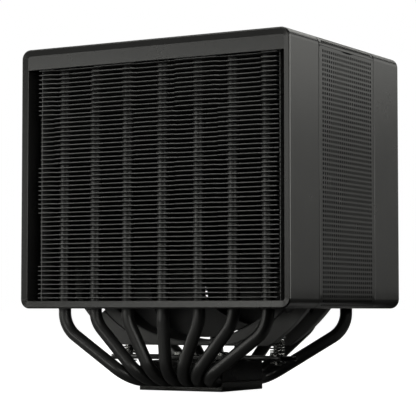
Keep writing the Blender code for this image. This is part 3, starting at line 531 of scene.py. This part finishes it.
def top_lid():
    """Perforated lid that wraps over both upper edges."""
    quarter = BODY_CORNER * math.pi / 2
    flat = 2 * (HALF_WIDTH - BODY_CORNER)
    seam_z = LID_LOW.z
    skirt = max(0.0, BODY_TOP - BODY_CORNER - seam_z)
    total = 2 * (skirt + quarter) + flat

    def surface(s, y, depth):
        side = 1.0 if s < total / 2 else -1.0
        run = min(s, total - s)
        if run < skirt:
            return Vector((side * (HALF_WIDTH - depth), y, seam_z + run))
        run -= skirt
        reach = BODY_CORNER - depth
        turn = min(run, quarter) / BODY_CORNER
        x = HALF_WIDTH - BODY_CORNER + reach * math.cos(turn) - max(0.0, run - quarter)
        return Vector((side * x, y, BODY_TOP - BODY_CORNER + reach * math.sin(turn)))

    pitch = (total - 2 * LID_FIRST_HOLE) / (LID_ROWS - 1)
    first = LID_FIRST_HOLE - pitch / 2
    rows = sheet_lines(0.00006, total - 0.00006, LID_ROWS, first, pitch)
    step = 0.0006
    count = int((first - 0.0003) / step)
    extra = [(step * (index + 1), 0.0, False) for index in range(count)]
    extra += [(total - place, 0.0, False) for place, _, _ in extra]
    bm = bmesh.new()
    perforated(bm, surface, sorted(rows + extra), hole_columns())
    lid = piece("top_mesh_lid", bm, "shroud_black", "lid", ["top_mesh_lid"])
    # Second slot: painted shade on the hole walls.
    lid.data.materials.append(FINISHES["painted_hole_shade"])


# ---------------------------------------------------------------- fins
def stepped_edge(stands_out, outer_y, inward):
    """A fin's outer edge from left to right. stands_out says if its middle stretch stands forward."""
    points = []
    forward = outer_y
    set_in = outer_y + inward * FIN_STEP
    marks = [-x for x in reversed(FIN_STEP_X)] + list(FIN_STEP_X)
    is_out = not stands_out
    level = forward if is_out else set_in
    points.append((-FIN_HALF, level))
    for mark in marks:
        points.append((mark - FIN_STEP_SLANT, level))
        is_out = not is_out
        level = forward if is_out else set_in
        points.append((mark + FIN_STEP_SLANT, level))
    points.append((FIN_HALF, level))
    return points


def plate_mesh(loops, thickness):
    """A flat plate with holes, in the XY plane, as a closed mesh."""
    curve = bpy.data.curves.new("plate", "CURVE")
    curve.dimensions = "2D"
    curve.fill_mode = "BOTH"
    curve.extrude = thickness / 2
    for loop in loops:
        spline = curve.splines.new("POLY")
        spline.points.add(len(loop) - 1)
        spline.use_cyclic_u = True
        for point, (x, y) in zip(spline.points, loop):
            point.co = (x, y, 0.0, 1.0)
    made = bpy.data.objects.new("plate", curve)
    bpy.context.scene.collection.objects.link(made)
    graph = bpy.context.evaluated_depsgraph_get()
    mesh = bpy.data.meshes.new_from_object(made.evaluated_get(graph))
    bpy.data.objects.remove(made)
    bpy.data.curves.remove(curve)
    return mesh


def pipe_leg_x(slot):
    """Where a pipe stands in the towers. Slots run from -3 to 3."""
    return math.copysign(PIPE_X[abs(slot)], slot)


def fin_stack(name, leg_y, inward):
    """Thin fins on seven pipes. Their outer edges are stepped, in bands that take turns."""
    low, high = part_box(name)
    outer_y, inner_y = (low.y, high.y) if inward > 0 else (high.y, low.y)
    holes = []
    for slot in range(-3, 4):
        holes.append([(pipe_leg_x(slot) + dx, leg_y + dy)
                      for dx, dy in arc(PIPE_RADIUS + PIPE_PLAY, 0, 345, 23)])
    meshes = []
    for stands_out in (False, True):
        edge = stepped_edge(stands_out, outer_y, inward)
        meshes.append(plate_mesh([edge + [(FIN_HALF, inner_y), (-FIN_HALF, inner_y)]] + holes,
                                 FIN_THICKNESS))
    bm = bmesh.new()
    for index in range(FIN_COUNT):
        before = len(bm.verts)
        band = (FIN_COUNT - 2 - index) // FIN_BAND
        bm.from_mesh(meshes[band % 2])
        bm.verts.ensure_lookup_table()
        z = FIN_LOWEST + FIN_PITCH * index
        bmesh.ops.translate(bm, verts=bm.verts[before:], vec=(0.0, 0.0, z))
        flange_y = sorted((outer_y + inward * FLANGE_SETBACK, inner_y - inward * FLANGE_STOP))
        for side in (-1, 1):
            flange_x = sorted((side * FIN_HALF, side * (FIN_HALF + FLANGE)))
            box(bm, *flange_x, *flange_y, z - FIN_PITCH + FIN_GAP + FIN_THICKNESS / 2,
                z + FIN_THICKNESS / 2)
    for mesh in meshes:
        bpy.data.meshes.remove(mesh)
    return piece(name, bm, "fin_black", "cooler", [name])


# ---------------------------------------------------------------- heat pipes
def rounded_path(corners, bends, steps):
    """A polyline whose inner corners are round, each with its own bend radius."""
    path = [Vector(corners[0])]
    for index, bend in enumerate(bends, start=1):
        before, corner, after = (Vector(corners[index + k]) for k in (-1, 0, 1))
        back = (before - corner).normalized()
        ahead = (after - corner).normalized()
        opening = back.angle(ahead)
        centre = corner + (back + ahead).normalized() * bend / math.sin(opening / 2)
        reach = bend / math.tan(opening / 2)
        first = corner + back * reach - centre
        last = corner + ahead * reach - centre
        sweep = math.pi - opening
        for step in range(steps + 1):
            part = step / steps
            blend = first * math.sin((1 - part) * sweep) + last * math.sin(part * sweep)
            path.append(centre + blend / math.sin(sweep))
    path.append(Vector(corners[-1]))
    return path


def sweep(bm, path, radii, sides):
    """A round tube along a path, its section carried without twist."""
    directions = [(b - a).normalized() for a, b in zip(path, path[1:])]
    directions = [directions[0]] + [(a + b).normalized() for a, b in zip(directions, directions[1:])] \
        + [directions[-1]]
    across = directions[0].orthogonal().normalized()
    rings = []
    for spot, ahead, radius in zip(path, directions, radii):
        across = (across - ahead * across.dot(ahead)).normalized()
        other = ahead.cross(across)
        rings.append([spot + radius * (math.cos(2 * math.pi * k / sides) * across
                                       + math.sin(2 * math.pi * k / sides) * other)
                      for k in range(sides)])
    join_rings(bm, rings, caps=True)


def heat_pipe(number, slot):
    """One U-shaped pipe with necked, closed tips."""
    leg_x = pipe_leg_x(slot)
    foot_x = slot * PIPE_PITCH_BASE
    knee_z = KNEE_Z[abs(slot)]
    corners = [
        (leg_x, FRONT_LEG_Y, PIPE_TOP - PIPE_TIP),
        (leg_x, FRONT_LEG_Y, knee_z),
        (foot_x, FRONT_TURN_Y, PIPE_Z),
        (foot_x, REAR_TURN_Y, PIPE_Z),
        (leg_x, REAR_LEG_Y, knee_z - REAR_KNEE_DROP),
        (leg_x, REAR_LEG_Y, PIPE_TOP - PIPE_TIP),
    ]
    path = rounded_path(corners, (KNEE_BEND, FOOT_BEND, FOOT_BEND, KNEE_BEND), 12)
    radii = [PIPE_RADIUS] * len(path)
    tip = [(0.30, 0.97), (0.55, 0.80), (0.70, 0.55), (0.90, 0.42), (1.0, 0.25)]
    for rise, share in tip:
        for end in (0, -1):
            spot = Vector(corners[end]) + Vector((0.0, 0.0, rise * PIPE_TIP))
            at = 0 if end == 0 else len(path)
            path.insert(at, spot)
            radii.insert(at, PIPE_RADIUS * share)
    bm = bmesh.new()
    sweep(bm, path, radii, 28)
    return piece(f"heat_pipe_{number}", bm, "pipe_black", "cooler", [f"heat_pipe_{number}"])


# ---------------------------------------------------------------- base
def base():
    """Plated contact plate and the black block over it, both grooved for the pipes."""
    for name, slot, bevel in (("cold_plate", "plated_copper", 0.00025),
                              ("base_block", "block_black", 0.0004)):
        low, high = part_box(name)
        bm = bmesh.new()
        bevelled_box(bm, low.x, high.x, low.y, high.y, low.z, high.z, bevel)
        cut = bmesh.new()
        for groove in range(-3, 4):
            cylinder(cut, groove * PIPE_PITCH_BASE, 0.0, PIPE_Z, PIPE_RADIUS + PIPE_PLAY,
                     3 * high.y, 28, "Y")
        piece(name, carve(bm, cut), slot, "cooler", [name])


# ---------------------------------------------------------------- mounting hardware
def crossbar():
    """Pressed steel bar with round ends, soft edges and its screw holes."""
    low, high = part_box("crossbar")
    corner = high.y
    soft = 0.0004
    bm = bmesh.new()
    rings = []
    for inset, z in ((soft, BAR_BOTTOM), (0.3 * soft, BAR_BOTTOM + 0.3 * soft),
                     (0.0, BAR_BOTTOM + soft), (0.0, high.z - soft),
                     (0.3 * soft, high.z - 0.3 * soft), (soft, high.z)):
        radius = corner - inset
        reach = high.x - corner
        ring = [Vector((reach + x, y, z)) for x, y in arc(radius, -90, 90, 16)]
        ring += [Vector((-reach + x, y, z)) for x, y in arc(radius, 90, 270, 16)]
        rings.append(ring)
    join_rings(bm, rings, caps=True)
    cut = bmesh.new()
    middle = (BAR_BOTTOM + high.z) / 2
    for side in (-1, 1):
        cylinder(cut, side * SCREW_X, 0.0, middle, SCREW_HOLE, 0.01)
        cylinder(cut, side * FIXING_SCREW_X, 0.0, middle, FIXING_HOLE, 0.01)
    bm = carve(bm, cut)
    pads = bmesh.new()
    for side in (-1, 1):
        pad_x = sorted(side * x for x in PAD_X)
        box(pads, *pad_x, -PAD_HALF, PAD_HALF, low.z, BAR_BOTTOM + 0.0005)
    bar = piece("crossbar", carve(bm, pads, "UNION"), "steel", "cooler", ["crossbar"])
    bar.data.materials[0] = FINISHES["coated_bar"]


def cross_slot(x, top, length=0.0022, width=0.0004, depth=0.0011):
    """A cutter for a cross-head drive."""
    cut = bmesh.new()
    box(cut, x - length, x + length, -width, width, top - depth, top + depth)
    other = bmesh.new()
    box(other, x - width, x + width, -length, length, top - depth, top + depth)
    return carve(cut, other, "UNION")


def domed_screw(name, x, head_radius, head_low, head_high, shank, tip_z, body, extra=()):
    """A turned screw with a rounded head, threads and a cross-head drive."""
    edge = 0.0005
    profile = [(0.0, head_high), (head_radius - 1.6 * edge, head_high),
               (head_radius - 0.5 * edge, head_high - 0.3 * edge),
               (head_radius, head_high - edge)]
    profile += list(extra) or [(head_radius, head_low), (shank, head_low)]
    start = profile[-1][1] - 0.0004
    pitch = 0.0006
    turns = int((start - tip_z - 0.0006) / pitch)
    for index in range(turns):
        z = start - pitch * index
        profile += [(shank, z), (shank - 0.00018, z - pitch / 2)]
    profile += [(shank, start - pitch * turns), (shank - 0.0005, tip_z), (0.0, tip_z)]
    bm = bmesh.new()
    lathe(bm, profile, 32, (x, 0.0, 0.0))
    piece(name, carve(bm, cross_slot(x, head_high)), "steel", body, [name])


def mounting_hardware():
    """Crossbar, its fixing screws, and the two sprung screws with their clips."""
    crossbar()
    for number, side in enumerate((-1, 1), start=1):
        name = f"crossbar_fixing_screw_{number}"
        low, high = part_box(name)
        head_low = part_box("crossbar")[1].z + 0.0001
        domed_screw(name, side * FIXING_SCREW_X, high.y, head_low, high.z, 0.0015, low.z, "cooler")
    for label, side in (("left", -1), ("right", 1)):
        sprung_screw(label, side)


def sprung_screw(label, side):
    """A captive screw with its coil spring and the clip in its groove."""
    x = side * SCREW_X
    name = f"{label}_mounting_screw"
    low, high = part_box(name)
    flange_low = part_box(f"{label}_spring")[1].z + 0.0003
    shank = 0.0019
    clip_low, clip_high = (corner.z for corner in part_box(f"{label}_retaining_clip"))
    extra = [(0.0029, flange_low + 0.0011), (0.0032, flange_low + 0.0010),
             (0.0040, flange_low + 0.0010), (high.y, flange_low + 0.0008),
             (high.y, flange_low + 0.0002), (0.0039, flange_low), (shank, flange_low),
             (shank, clip_high + 0.0003), (shank - 0.0005, clip_high + 0.0003),
             (shank - 0.0005, clip_low - 0.0003), (shank, clip_low - 0.0003)]
    domed_screw(name, x, 0.0029, flange_low, high.z, shank, low.z, f"{label}_screw", extra)

    spring_low, spring_high = (corner.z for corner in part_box(f"{label}_spring"))
    bottom, top = spring_low + SPRING_WIRE, spring_high - SPRING_WIRE
    count = int(SPRING_TURNS * 28)
    path = []
    for index in range(count + 1):
        part = index / count
        rise = part - 0.45 * math.sin(2 * math.pi * part) / (2 * math.pi)
        turn = 2 * math.pi * SPRING_TURNS * part
        path.append(Vector((x + SPRING_RADIUS * math.cos(turn), SPRING_RADIUS * math.sin(turn),
                            bottom + (top - bottom) * rise)))
    bm = bmesh.new()
    sweep(bm, path, [SPRING_WIRE] * len(path), 10)
    spring = piece(f"{label}_spring", bm, "steel", "cooler", [f"{label}_spring"])
    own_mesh(spring)

    opening = 60
    bore = shank - 0.0003
    outline = [(x + dx, dy) for dx, dy in arc(0.0038, opening / 2 - 90, 270 - opening / 2, 36)]
    outline += [(x + dx, dy) for dx, dy in arc(bore, 270 - opening / 2, opening / 2 - 90, 30)]
    mesh = plate_mesh([outline], clip_high - clip_low)
    bm = bmesh.new()
    bm.from_mesh(mesh)
    bpy.data.meshes.remove(mesh)
    bmesh.ops.translate(bm, verts=bm.verts, vec=(0.0, 0.0, (clip_low + clip_high) / 2))
    piece(f"{label}_retaining_clip", bm, "steel", f"{label}_clip", [f"{label}_retaining_clip"])


# ---------------------------------------------------------------- fan
def fan_ring(radius, y, square=None, sides=160):
    """A ring about the fan's axis: a circle, or the fan's square outline where square is given."""
    ring = []
    for index in range(sides):
        turn = 2 * math.pi * (index + 0.5) / sides
        reach = radius
        if square is not None:
            reach = min(radius, square / max(abs(math.cos(turn)), abs(math.sin(turn))))
        ring.append(Vector((reach * math.cos(turn), y, FAN_Z + reach * math.sin(turn))))
    return ring


def fan_frame():
    """Round duct with two flanges, screw holes, leaning rear struts and the motor's seat."""
    front, rear = FAN_LOW.y, FAN_HIGH.y
    half = (FAN_HIGH.x - FAN_LOW.x) / 2
    soft = 0.0004
    barrel = half - 0.0008
    mouth = 0.0012
    rings = []
    for radius, y in ((FAN_DUCT + mouth, front), (FAN_DUCT + 0.3 * mouth, front + 0.3 * mouth),
                      (FAN_DUCT, front + mouth), (FAN_DUCT, rear - mouth),
                      (FAN_DUCT + 0.3 * mouth, rear - 0.3 * mouth), (FAN_DUCT + mouth, rear)):
        rings.append(fan_ring(radius, y))
    for inset, y in ((soft, rear), (0.3 * soft, rear - 0.3 * soft), (0.0, rear - soft),
                     (0.0, rear - FAN_FLANGE + soft), (soft, rear - FAN_FLANGE)):
        rings.append(fan_ring(FAN_CORNER - inset, y, half - inset))
    rings.append(fan_ring(barrel, rear - FAN_FLANGE))
    rings.append(fan_ring(barrel, front + FAN_FLANGE))
    for inset, y in ((soft, front + FAN_FLANGE), (0.0, front + FAN_FLANGE - soft),
                     (0.0, front + soft), (0.3 * soft, front + 0.3 * soft), (soft, front)):
        rings.append(fan_ring(FAN_CORNER - inset, y, half - inset))
    for across, inset, depth in ((1.0, 0.0005, 0.0), (0.75, 0.0006, GROOVE_DEPTH),
                                 (-0.75, 0.0007, GROOVE_DEPTH), (-1.0, 0.0008, 0.0)):
        rings.append(fan_ring(GROOVE_RADIUS + across * GROOVE_HALF, front + depth, half - inset))
    bm = bmesh.new()
    join_rings(bm, rings, closed=True)
    cut = bmesh.new()
    for x in (-FAN_HOLE_HALF, FAN_HOLE_HALF):
        for z in (-FAN_HOLE_HALF, FAN_HOLE_HALF):
            cylinder(cut, x, (front + rear) / 2, FAN_Z + z, FAN_HOLE, 0.04, 28, "Y")
    piece("fan_frame", carve(bm, cut), "fan_plastic", "fan", ["fan_frame"])

    bm = bmesh.new()
    for index in range(STRUT_COUNT):
        strut(bm, 2 * math.pi * index / STRUT_COUNT + STRUT_START, rear)
    piece("fan_struts", bm, "fan_plastic", "fan", ["fan_frame"])

    seat, post, bore = 0.0030, 0.0052, 0.0038
    bm = bmesh.new()
    profile = [(bore, -0.0200), (post - 0.0004, -0.0200), (post, -0.0196), (post, -seat),
               (HUB_RADIUS - 0.0003, -seat), (HUB_RADIUS, -seat + 0.0003), (HUB_RADIUS, -0.0004),
               (HUB_RADIUS - 0.0004, 0.0), (HUB_RADIUS - 0.0030, 0.0), (HUB_RADIUS - 0.0034, -0.0004),
               (0.0, -0.0004), (0.0, -0.0015), (bore, -0.0015)]
    lathe(bm, profile, 72, (0.0, rear, FAN_Z), "Y", closed=True)
    piece("fan_motor_seat", bm, "fan_plastic", "fan", ["fan_frame"])


def strut(bm, turn, rear):
    """One curved arm with a rounded section between the motor's seat and the duct."""
    steps = 8
    rings = []
    for index in range(steps + 1):
        part = index / steps
        radius = HUB_RADIUS - 0.0008 + (FAN_DUCT - HUB_RADIUS + 0.0014) * part
        angle = turn + STRUT_LEAN * part * part
        out = Vector((math.cos(angle), 0.0, math.sin(angle)))
        side = Vector((-math.sin(angle), 0.0, math.cos(angle)))
        middle = out * radius + Vector((0.0, rear - 0.0021, FAN_Z))
        ring = []
        for u, v in arc(1.0, 0, 330, 11):
            reach_u = 0.0015 * math.copysign(abs(u) ** 0.6, u)
            reach_v = 0.0018 * math.copysign(abs(v) ** 0.6, v)
            ring.append(middle + side * reach_u + Vector((0.0, reach_v, 0.0)))
        rings.append(ring)
    join_rings(bm, rings, caps=True)


def blade_point(along, out, start):
    """A point on a blade's middle surface. Along runs from its front edge to its rear edge."""
    root = HUB_RADIUS - 0.0008
    radius = root + (BLADE_TIP - root) * out
    angle = start + BLADE_SWEEP * out * out - BLADE_SPAN * (along - 0.5)
    depth = BLADE_DEPTH * (1.0 - 0.12 * out)
    y = depth * (along - 0.5 + 0.10 * math.sin(math.pi * along))
    return Vector((radius * math.cos(angle), y, radius * math.sin(angle)))


def fan_impeller():
    """Nine swept blades round a hub with a rounded cap."""
    low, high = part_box("fan_impeller")
    centre_y = (FAN_LOW.y + FAN_HIGH.y) / 2 - 0.0015
    centre = Vector((0.0, centre_y, FAN_Z))
    chord, span = 18, 14
    bm = bmesh.new()
    for index in range(BLADE_COUNT):
        start = 2 * math.pi * index / BLADE_COUNT + BLADE_START
        rings = []
        for j in range(span + 1):
            out = j / span
            upper, lower = [], []
            for i in range(chord + 1):
                along = 0.5 - 0.5 * math.cos(math.pi * i / chord)
                here = blade_point(along, out, start)
                ahead = blade_point(along + 0.01, out, start) - here
                outward = blade_point(along, out + 0.01, start) - here
                normal = ahead.cross(outward).normalized()
                half = BLADE_THICKNESS / 2 * (0.35 + 0.65 * math.sin(math.pi * along) ** 0.5)
                upper.append(centre + here + normal * half)
                lower.append(centre + here - normal * half)
            rings.append(upper + list(reversed(lower)))
        join_rings(bm, rings, caps=True)
    piece("fan_blades", bm, "fan_plastic", "rotor", ["fan_impeller"], angle=40.0)

    wall, round_edge = 0.0014, 0.0022
    profile = [(0.0, low.y + 0.0018), (HUB_RADIUS - wall, low.y + 0.0018), (HUB_RADIUS - wall, high.y),
               (HUB_RADIUS, high.y)]
    profile += [(HUB_RADIUS - round_edge + x, low.y + round_edge - y)
                for x, y in arc(round_edge, 0, 90, 6)]
    profile += [(0.0125, low.y), (0.0122, low.y + 0.0003), (0.0, low.y + 0.0003)]
    bm = bmesh.new()
    lathe(bm, profile, 96, (0.0, 0.0, FAN_Z), "Y")
    piece("fan_hub", bm, "fan_plastic", "rotor", ["fan_impeller"])


# ---------------------------------------------------------------- small discs
def disc(name, slot, body, along, soft, dimple):
    """A small round part with a rounded rim and a shallow dimple in both faces."""
    low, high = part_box(name)
    centre = (low + high) / 2
    axis = 1 if along == "Y" else 2
    half = (high[axis] - low[axis]) / 2
    radius = (high.x - low.x) / 2
    side = [(0.45 * radius, half - dimple), (0.55 * radius, half), (radius - soft, half),
            (radius - 0.3 * soft, half - 0.3 * soft), (radius, half - soft)]
    profile = [(0.0, half - dimple)] + side + [(r, -h) for r, h in reversed(side)]
    profile.append((0.0, dimple - half))
    bm = bmesh.new()
    lathe(bm, profile, 40, centre, along)
    piece(name, bm, slot, body, [name])


def small_parts():
    """Rubber pads at the fan's corners and the magnets that hold the lid."""
    for number in range(1, 5):
        disc(f"front_fan_pad_{number}", "rubber", "fan", "Y", 0.0004, 0.0003)
        disc(f"rear_fan_pad_{number}", "rubber", "fan", "Y", 0.0004, 0.0003)
        disc(f"lid_magnet_{number}", "magnet", "lid", "Z", 0.0002, 0.00005)
        disc(f"catch_magnet_{number}", "magnet", "cooler", "Z", 0.0002, 0.00005)


def carried_over():
    """The motor's inner parts keep their CAD shape and take the fine finishes."""
    slots = {row["node"]: row["material_slot"] for row in frame["record"]["subparts"]}
    for name, node in NODES.items():
        if not node.hide_render:
            node.data.materials.clear()
            node.data.materials.append(FINISHES[slots[name]])


# ---------------------------------------------------------------- studio
AIM = (0.0, 0.01, 0.09)
LIGHT_DISTANCE = 1.5
LIGHT_COLOUR = (1.0, 1.0, 0.95)
FLOOR_GLOW = 0.10
CARD_HEIGHT = 0.044
# The brightnesses are a least-squares solver's output, rounded: it fitted them to greys in the photo.
# Only front_right, right_front_low, right_front and right_low were set one by one.
SOFTBOXES = (               # bearing from the front towards the right, elevation, height, brightness
    ("front_low", 0, 4, 0.26, 1.15),
    ("front_left_low", -30, 4, 0.26, 4.2),
    ("front_left_high", -30, 38, 0.60, 4.3),
    ("left_front_low", -60, 4, 0.26, 1.1),
    ("left_front", -60, 17, 0.40, 1.5),
    ("left_front_high", -60, 38, 0.60, 0.4),
    ("left_low", -90, 4, 0.26, 3.1),
    ("left", -90, 17, 0.40, 0.6),
    ("left_high", -90, 38, 0.60, 0.9),
    ("left_rear_low", -120, 4, 0.26, 1.6),
    ("left_rear", -120, 17, 0.40, 1.2),
    ("left_rear_high", -120, 38, 0.60, 2.1),
    ("rear_left", -150, 17, 0.40, 0.7),
    ("rear_left_high", -150, 38, 0.60, 0.7),
    ("front_right", 35, 17, 0.40, 2.0),
    ("right_front_low", 60, 4, 0.26, 4.5),
    ("right_front", 60, 17, 0.40, 3.0),
    ("right_low", 90, 4, 0.26, 5.0),
    ("right", 90, 17, 0.40, 2.2),
    ("right_rear_low", 120, 4, 0.26, 2.65),
    ("right_rear", 120, 17, 0.40, 8.0),
    ("rear_right_low", 150, 4, 0.26, 0.25),
    ("rear_right", 150, 17, 0.40, 1.1),
    ("rear_high", 180, 38, 0.60, 1.4),
    ("overhead", 0, 90, 1.00, 4.9),
)


def softbox(name, bearing, elevation, height, brightness):
    """A rectangular area light that faces the cooler and that the camera doesn't see."""
    turn, rise = math.radians(bearing), math.radians(elevation)
    away = Vector((math.sin(turn) * math.cos(rise), -math.cos(turn) * math.cos(rise), math.sin(rise)))
    data = bpy.data.lights.new(name, "AREA")
    data.shape = "RECTANGLE"
    data.size, data.size_y = max(0.50, 0.80 * math.cos(rise)), height
    data.color = LIGHT_COLOUR
    data.energy = brightness * math.pi * data.size * data.size_y
    light = bpy.data.objects.new(name, data)
    light.location = Vector(AIM) + away * LIGHT_DISTANCE
    light.rotation_euler = (-away).to_track_quat("-Z", "Y").to_euler()
    light.visible_camera = False
    bpy.context.scene.collection.objects.link(light)


def backdrop():
    """The camera sees white all round. The cooler sees a dark room."""
    world = bpy.data.worlds.new("studio")
    world.use_nodes = True
    bpy.context.scene.world = world
    nodes, links = world.node_tree.nodes, world.node_tree.links
    nodes.clear()
    seen = nodes.new("ShaderNodeBackground")
    seen.inputs["Color"].default_value = (1.0, 1.0, 1.0, 1.0)
    fill = nodes.new("ShaderNodeBackground")
    fill.inputs["Color"].default_value = (0.006, 0.006, 0.006, 1.0)
    ray = nodes.new("ShaderNodeLightPath")
    mix = nodes.new("ShaderNodeMixShader")
    out = nodes.new("ShaderNodeOutputWorld")
    links.new(ray.outputs["Is Camera Ray"], mix.inputs[0])
    links.new(fill.outputs["Background"], mix.inputs[1])
    links.new(seen.outputs["Background"], mix.inputs[2])
    links.new(mix.outputs["Shader"], out.inputs["Surface"])


def floor():
    """A pale floor, bright to the camera and clear from below, with a faint glow behind on the right."""
    bm = bmesh.new()
    bmesh.ops.create_circle(bm, cap_ends=True, segments=96, radius=40.0)
    mesh = bpy.data.meshes.new("floor")
    bm.to_mesh(mesh)
    bm.free()
    made = bpy.data.objects.new("floor", mesh)
    made.location.z = CAD_LOW.z - 0.0001
    bpy.context.scene.collection.objects.link(made)
    pale = bpy.data.materials.new("pale_floor")
    pale.use_nodes = True
    nodes, links = pale.node_tree.nodes, pale.node_tree.links
    nodes.clear()
    matt = nodes.new("ShaderNodeBsdfDiffuse")
    matt.inputs["Color"].default_value = (0.30, 0.30, 0.30, 1.0)
    place = nodes.new("ShaderNodeTexCoord")
    parts = nodes.new("ShaderNodeSeparateXYZ")
    rightward = nodes.new("ShaderNodeMapRange")
    rightward.inputs["From Min"].default_value = 0.060
    rightward.inputs["From Max"].default_value = 0.080
    rearward = nodes.new("ShaderNodeMapRange")
    rearward.inputs["From Min"].default_value = -0.04
    rearward.inputs["From Max"].default_value = 0.02
    rearward.inputs["To Max"].default_value = FLOOR_GLOW
    warm = nodes.new("ShaderNodeMath")
    warm.operation = "MULTIPLY"
    ray = nodes.new("ShaderNodeLightPath")
    lift = nodes.new("ShaderNodeMath")
    lift.operation = "MAXIMUM"
    glow = nodes.new("ShaderNodeEmission")
    both = nodes.new("ShaderNodeAddShader")
    facing = nodes.new("ShaderNodeNewGeometry")
    clear = nodes.new("ShaderNodeBsdfTransparent")
    sided = nodes.new("ShaderNodeMixShader")
    out = nodes.new("ShaderNodeOutputMaterial")
    links.new(place.outputs["Object"], parts.inputs["Vector"])
    links.new(parts.outputs["X"], rightward.inputs["Value"])
    links.new(parts.outputs["Y"], rearward.inputs["Value"])
    links.new(rightward.outputs["Result"], warm.inputs[0])
    links.new(rearward.outputs["Result"], warm.inputs[1])
    links.new(warm.outputs["Value"], lift.inputs[0])
    links.new(ray.outputs["Is Camera Ray"], lift.inputs[1])
    links.new(lift.outputs["Value"], glow.inputs["Strength"])
    links.new(matt.outputs["BSDF"], both.inputs[0])
    links.new(glow.outputs["Emission"], both.inputs[1])
    links.new(facing.outputs["Backfacing"], sided.inputs[0])
    links.new(both.outputs["Shader"], sided.inputs[1])
    links.new(clear.outputs["BSDF"], sided.inputs[2])
    links.new(sided.outputs["Shader"], out.inputs["Surface"])
    mesh.materials.append(pale)


def black_card():
    """A low black card round the right side that keeps the lights off the pipes and the base."""
    bm = bmesh.new()
    spots = [(0.040, -0.080), (0.100, -0.035), (0.100, 0.120), (0.020, 0.150)]
    rows = [[bm.verts.new((x, y, z)) for x, y in spots] for z in (CAD_LOW.z, CARD_HEIGHT)]
    for k in range(len(spots) - 1):
        bm.faces.new((rows[0][k], rows[0][k + 1], rows[1][k + 1], rows[1][k]))
    mesh = bpy.data.meshes.new("black_card")
    bm.to_mesh(mesh)
    bm.free()
    card = bpy.data.objects.new("black_card", mesh)
    card.visible_camera = False
    bpy.context.scene.collection.objects.link(card)
    black = bpy.data.materials.new("black_cloth")
    black.use_nodes = True
    shader = black.node_tree.nodes["Principled BSDF"]
    shader.inputs["Base Color"].default_value = (0.002, 0.002, 0.002, 1.0)
    shader.inputs["Roughness"].default_value = 1.0
    shader.inputs["Specular IOR Level"].default_value = 0.0
    mesh.materials.append(black)


def studio():
    """White backdrop, floor, soft lights and the card."""
    backdrop()
    floor()
    black_card()
    for row in SOFTBOXES:
        softbox(*row)


def camera():
    """The camera looks up a little at the front and the right side.

    Its lens, place and turn come from a least-squares fit to the body's straight edges in the photo.
    """
    data = bpy.data.cameras.new("camera")
    data.sensor_width = 36.0
    data.lens = 147.05
    data.clip_start = 0.01
    made = bpy.data.objects.new("camera", data)
    made.location = (0.4182, -0.7100, 0.0390)
    made.rotation_euler = (math.radians(93.38), 0.0, math.radians(30.28))
    bpy.context.scene.collection.objects.link(made)
    bpy.context.scene.camera = made
    bpy.context.scene.view_settings.view_transform = "Standard"


# ---------------------------------------------------------------- assembly
camera()
studio()
shroud_frame("front_frame", FACE_FRONT, 1, BAND_FRONT - SEAM)
shroud_frame("rear_frame", FACE_REAR, -1, BAND_REAR + SEAM)
side_panel("left_mesh_panel", -1)
side_panel("right_mesh_panel", 1)
top_lid()
fin_stack("front_fin_stack", FRONT_LEG_Y, 1)
fin_stack("rear_fin_stack", REAR_LEG_Y, -1)
for number, slot in enumerate(range(-3, 4), start=1):
    heat_pipe(number, slot)
base()
mounting_hardware()
fan_frame()
fan_impeller()
small_parts()
carried_over()
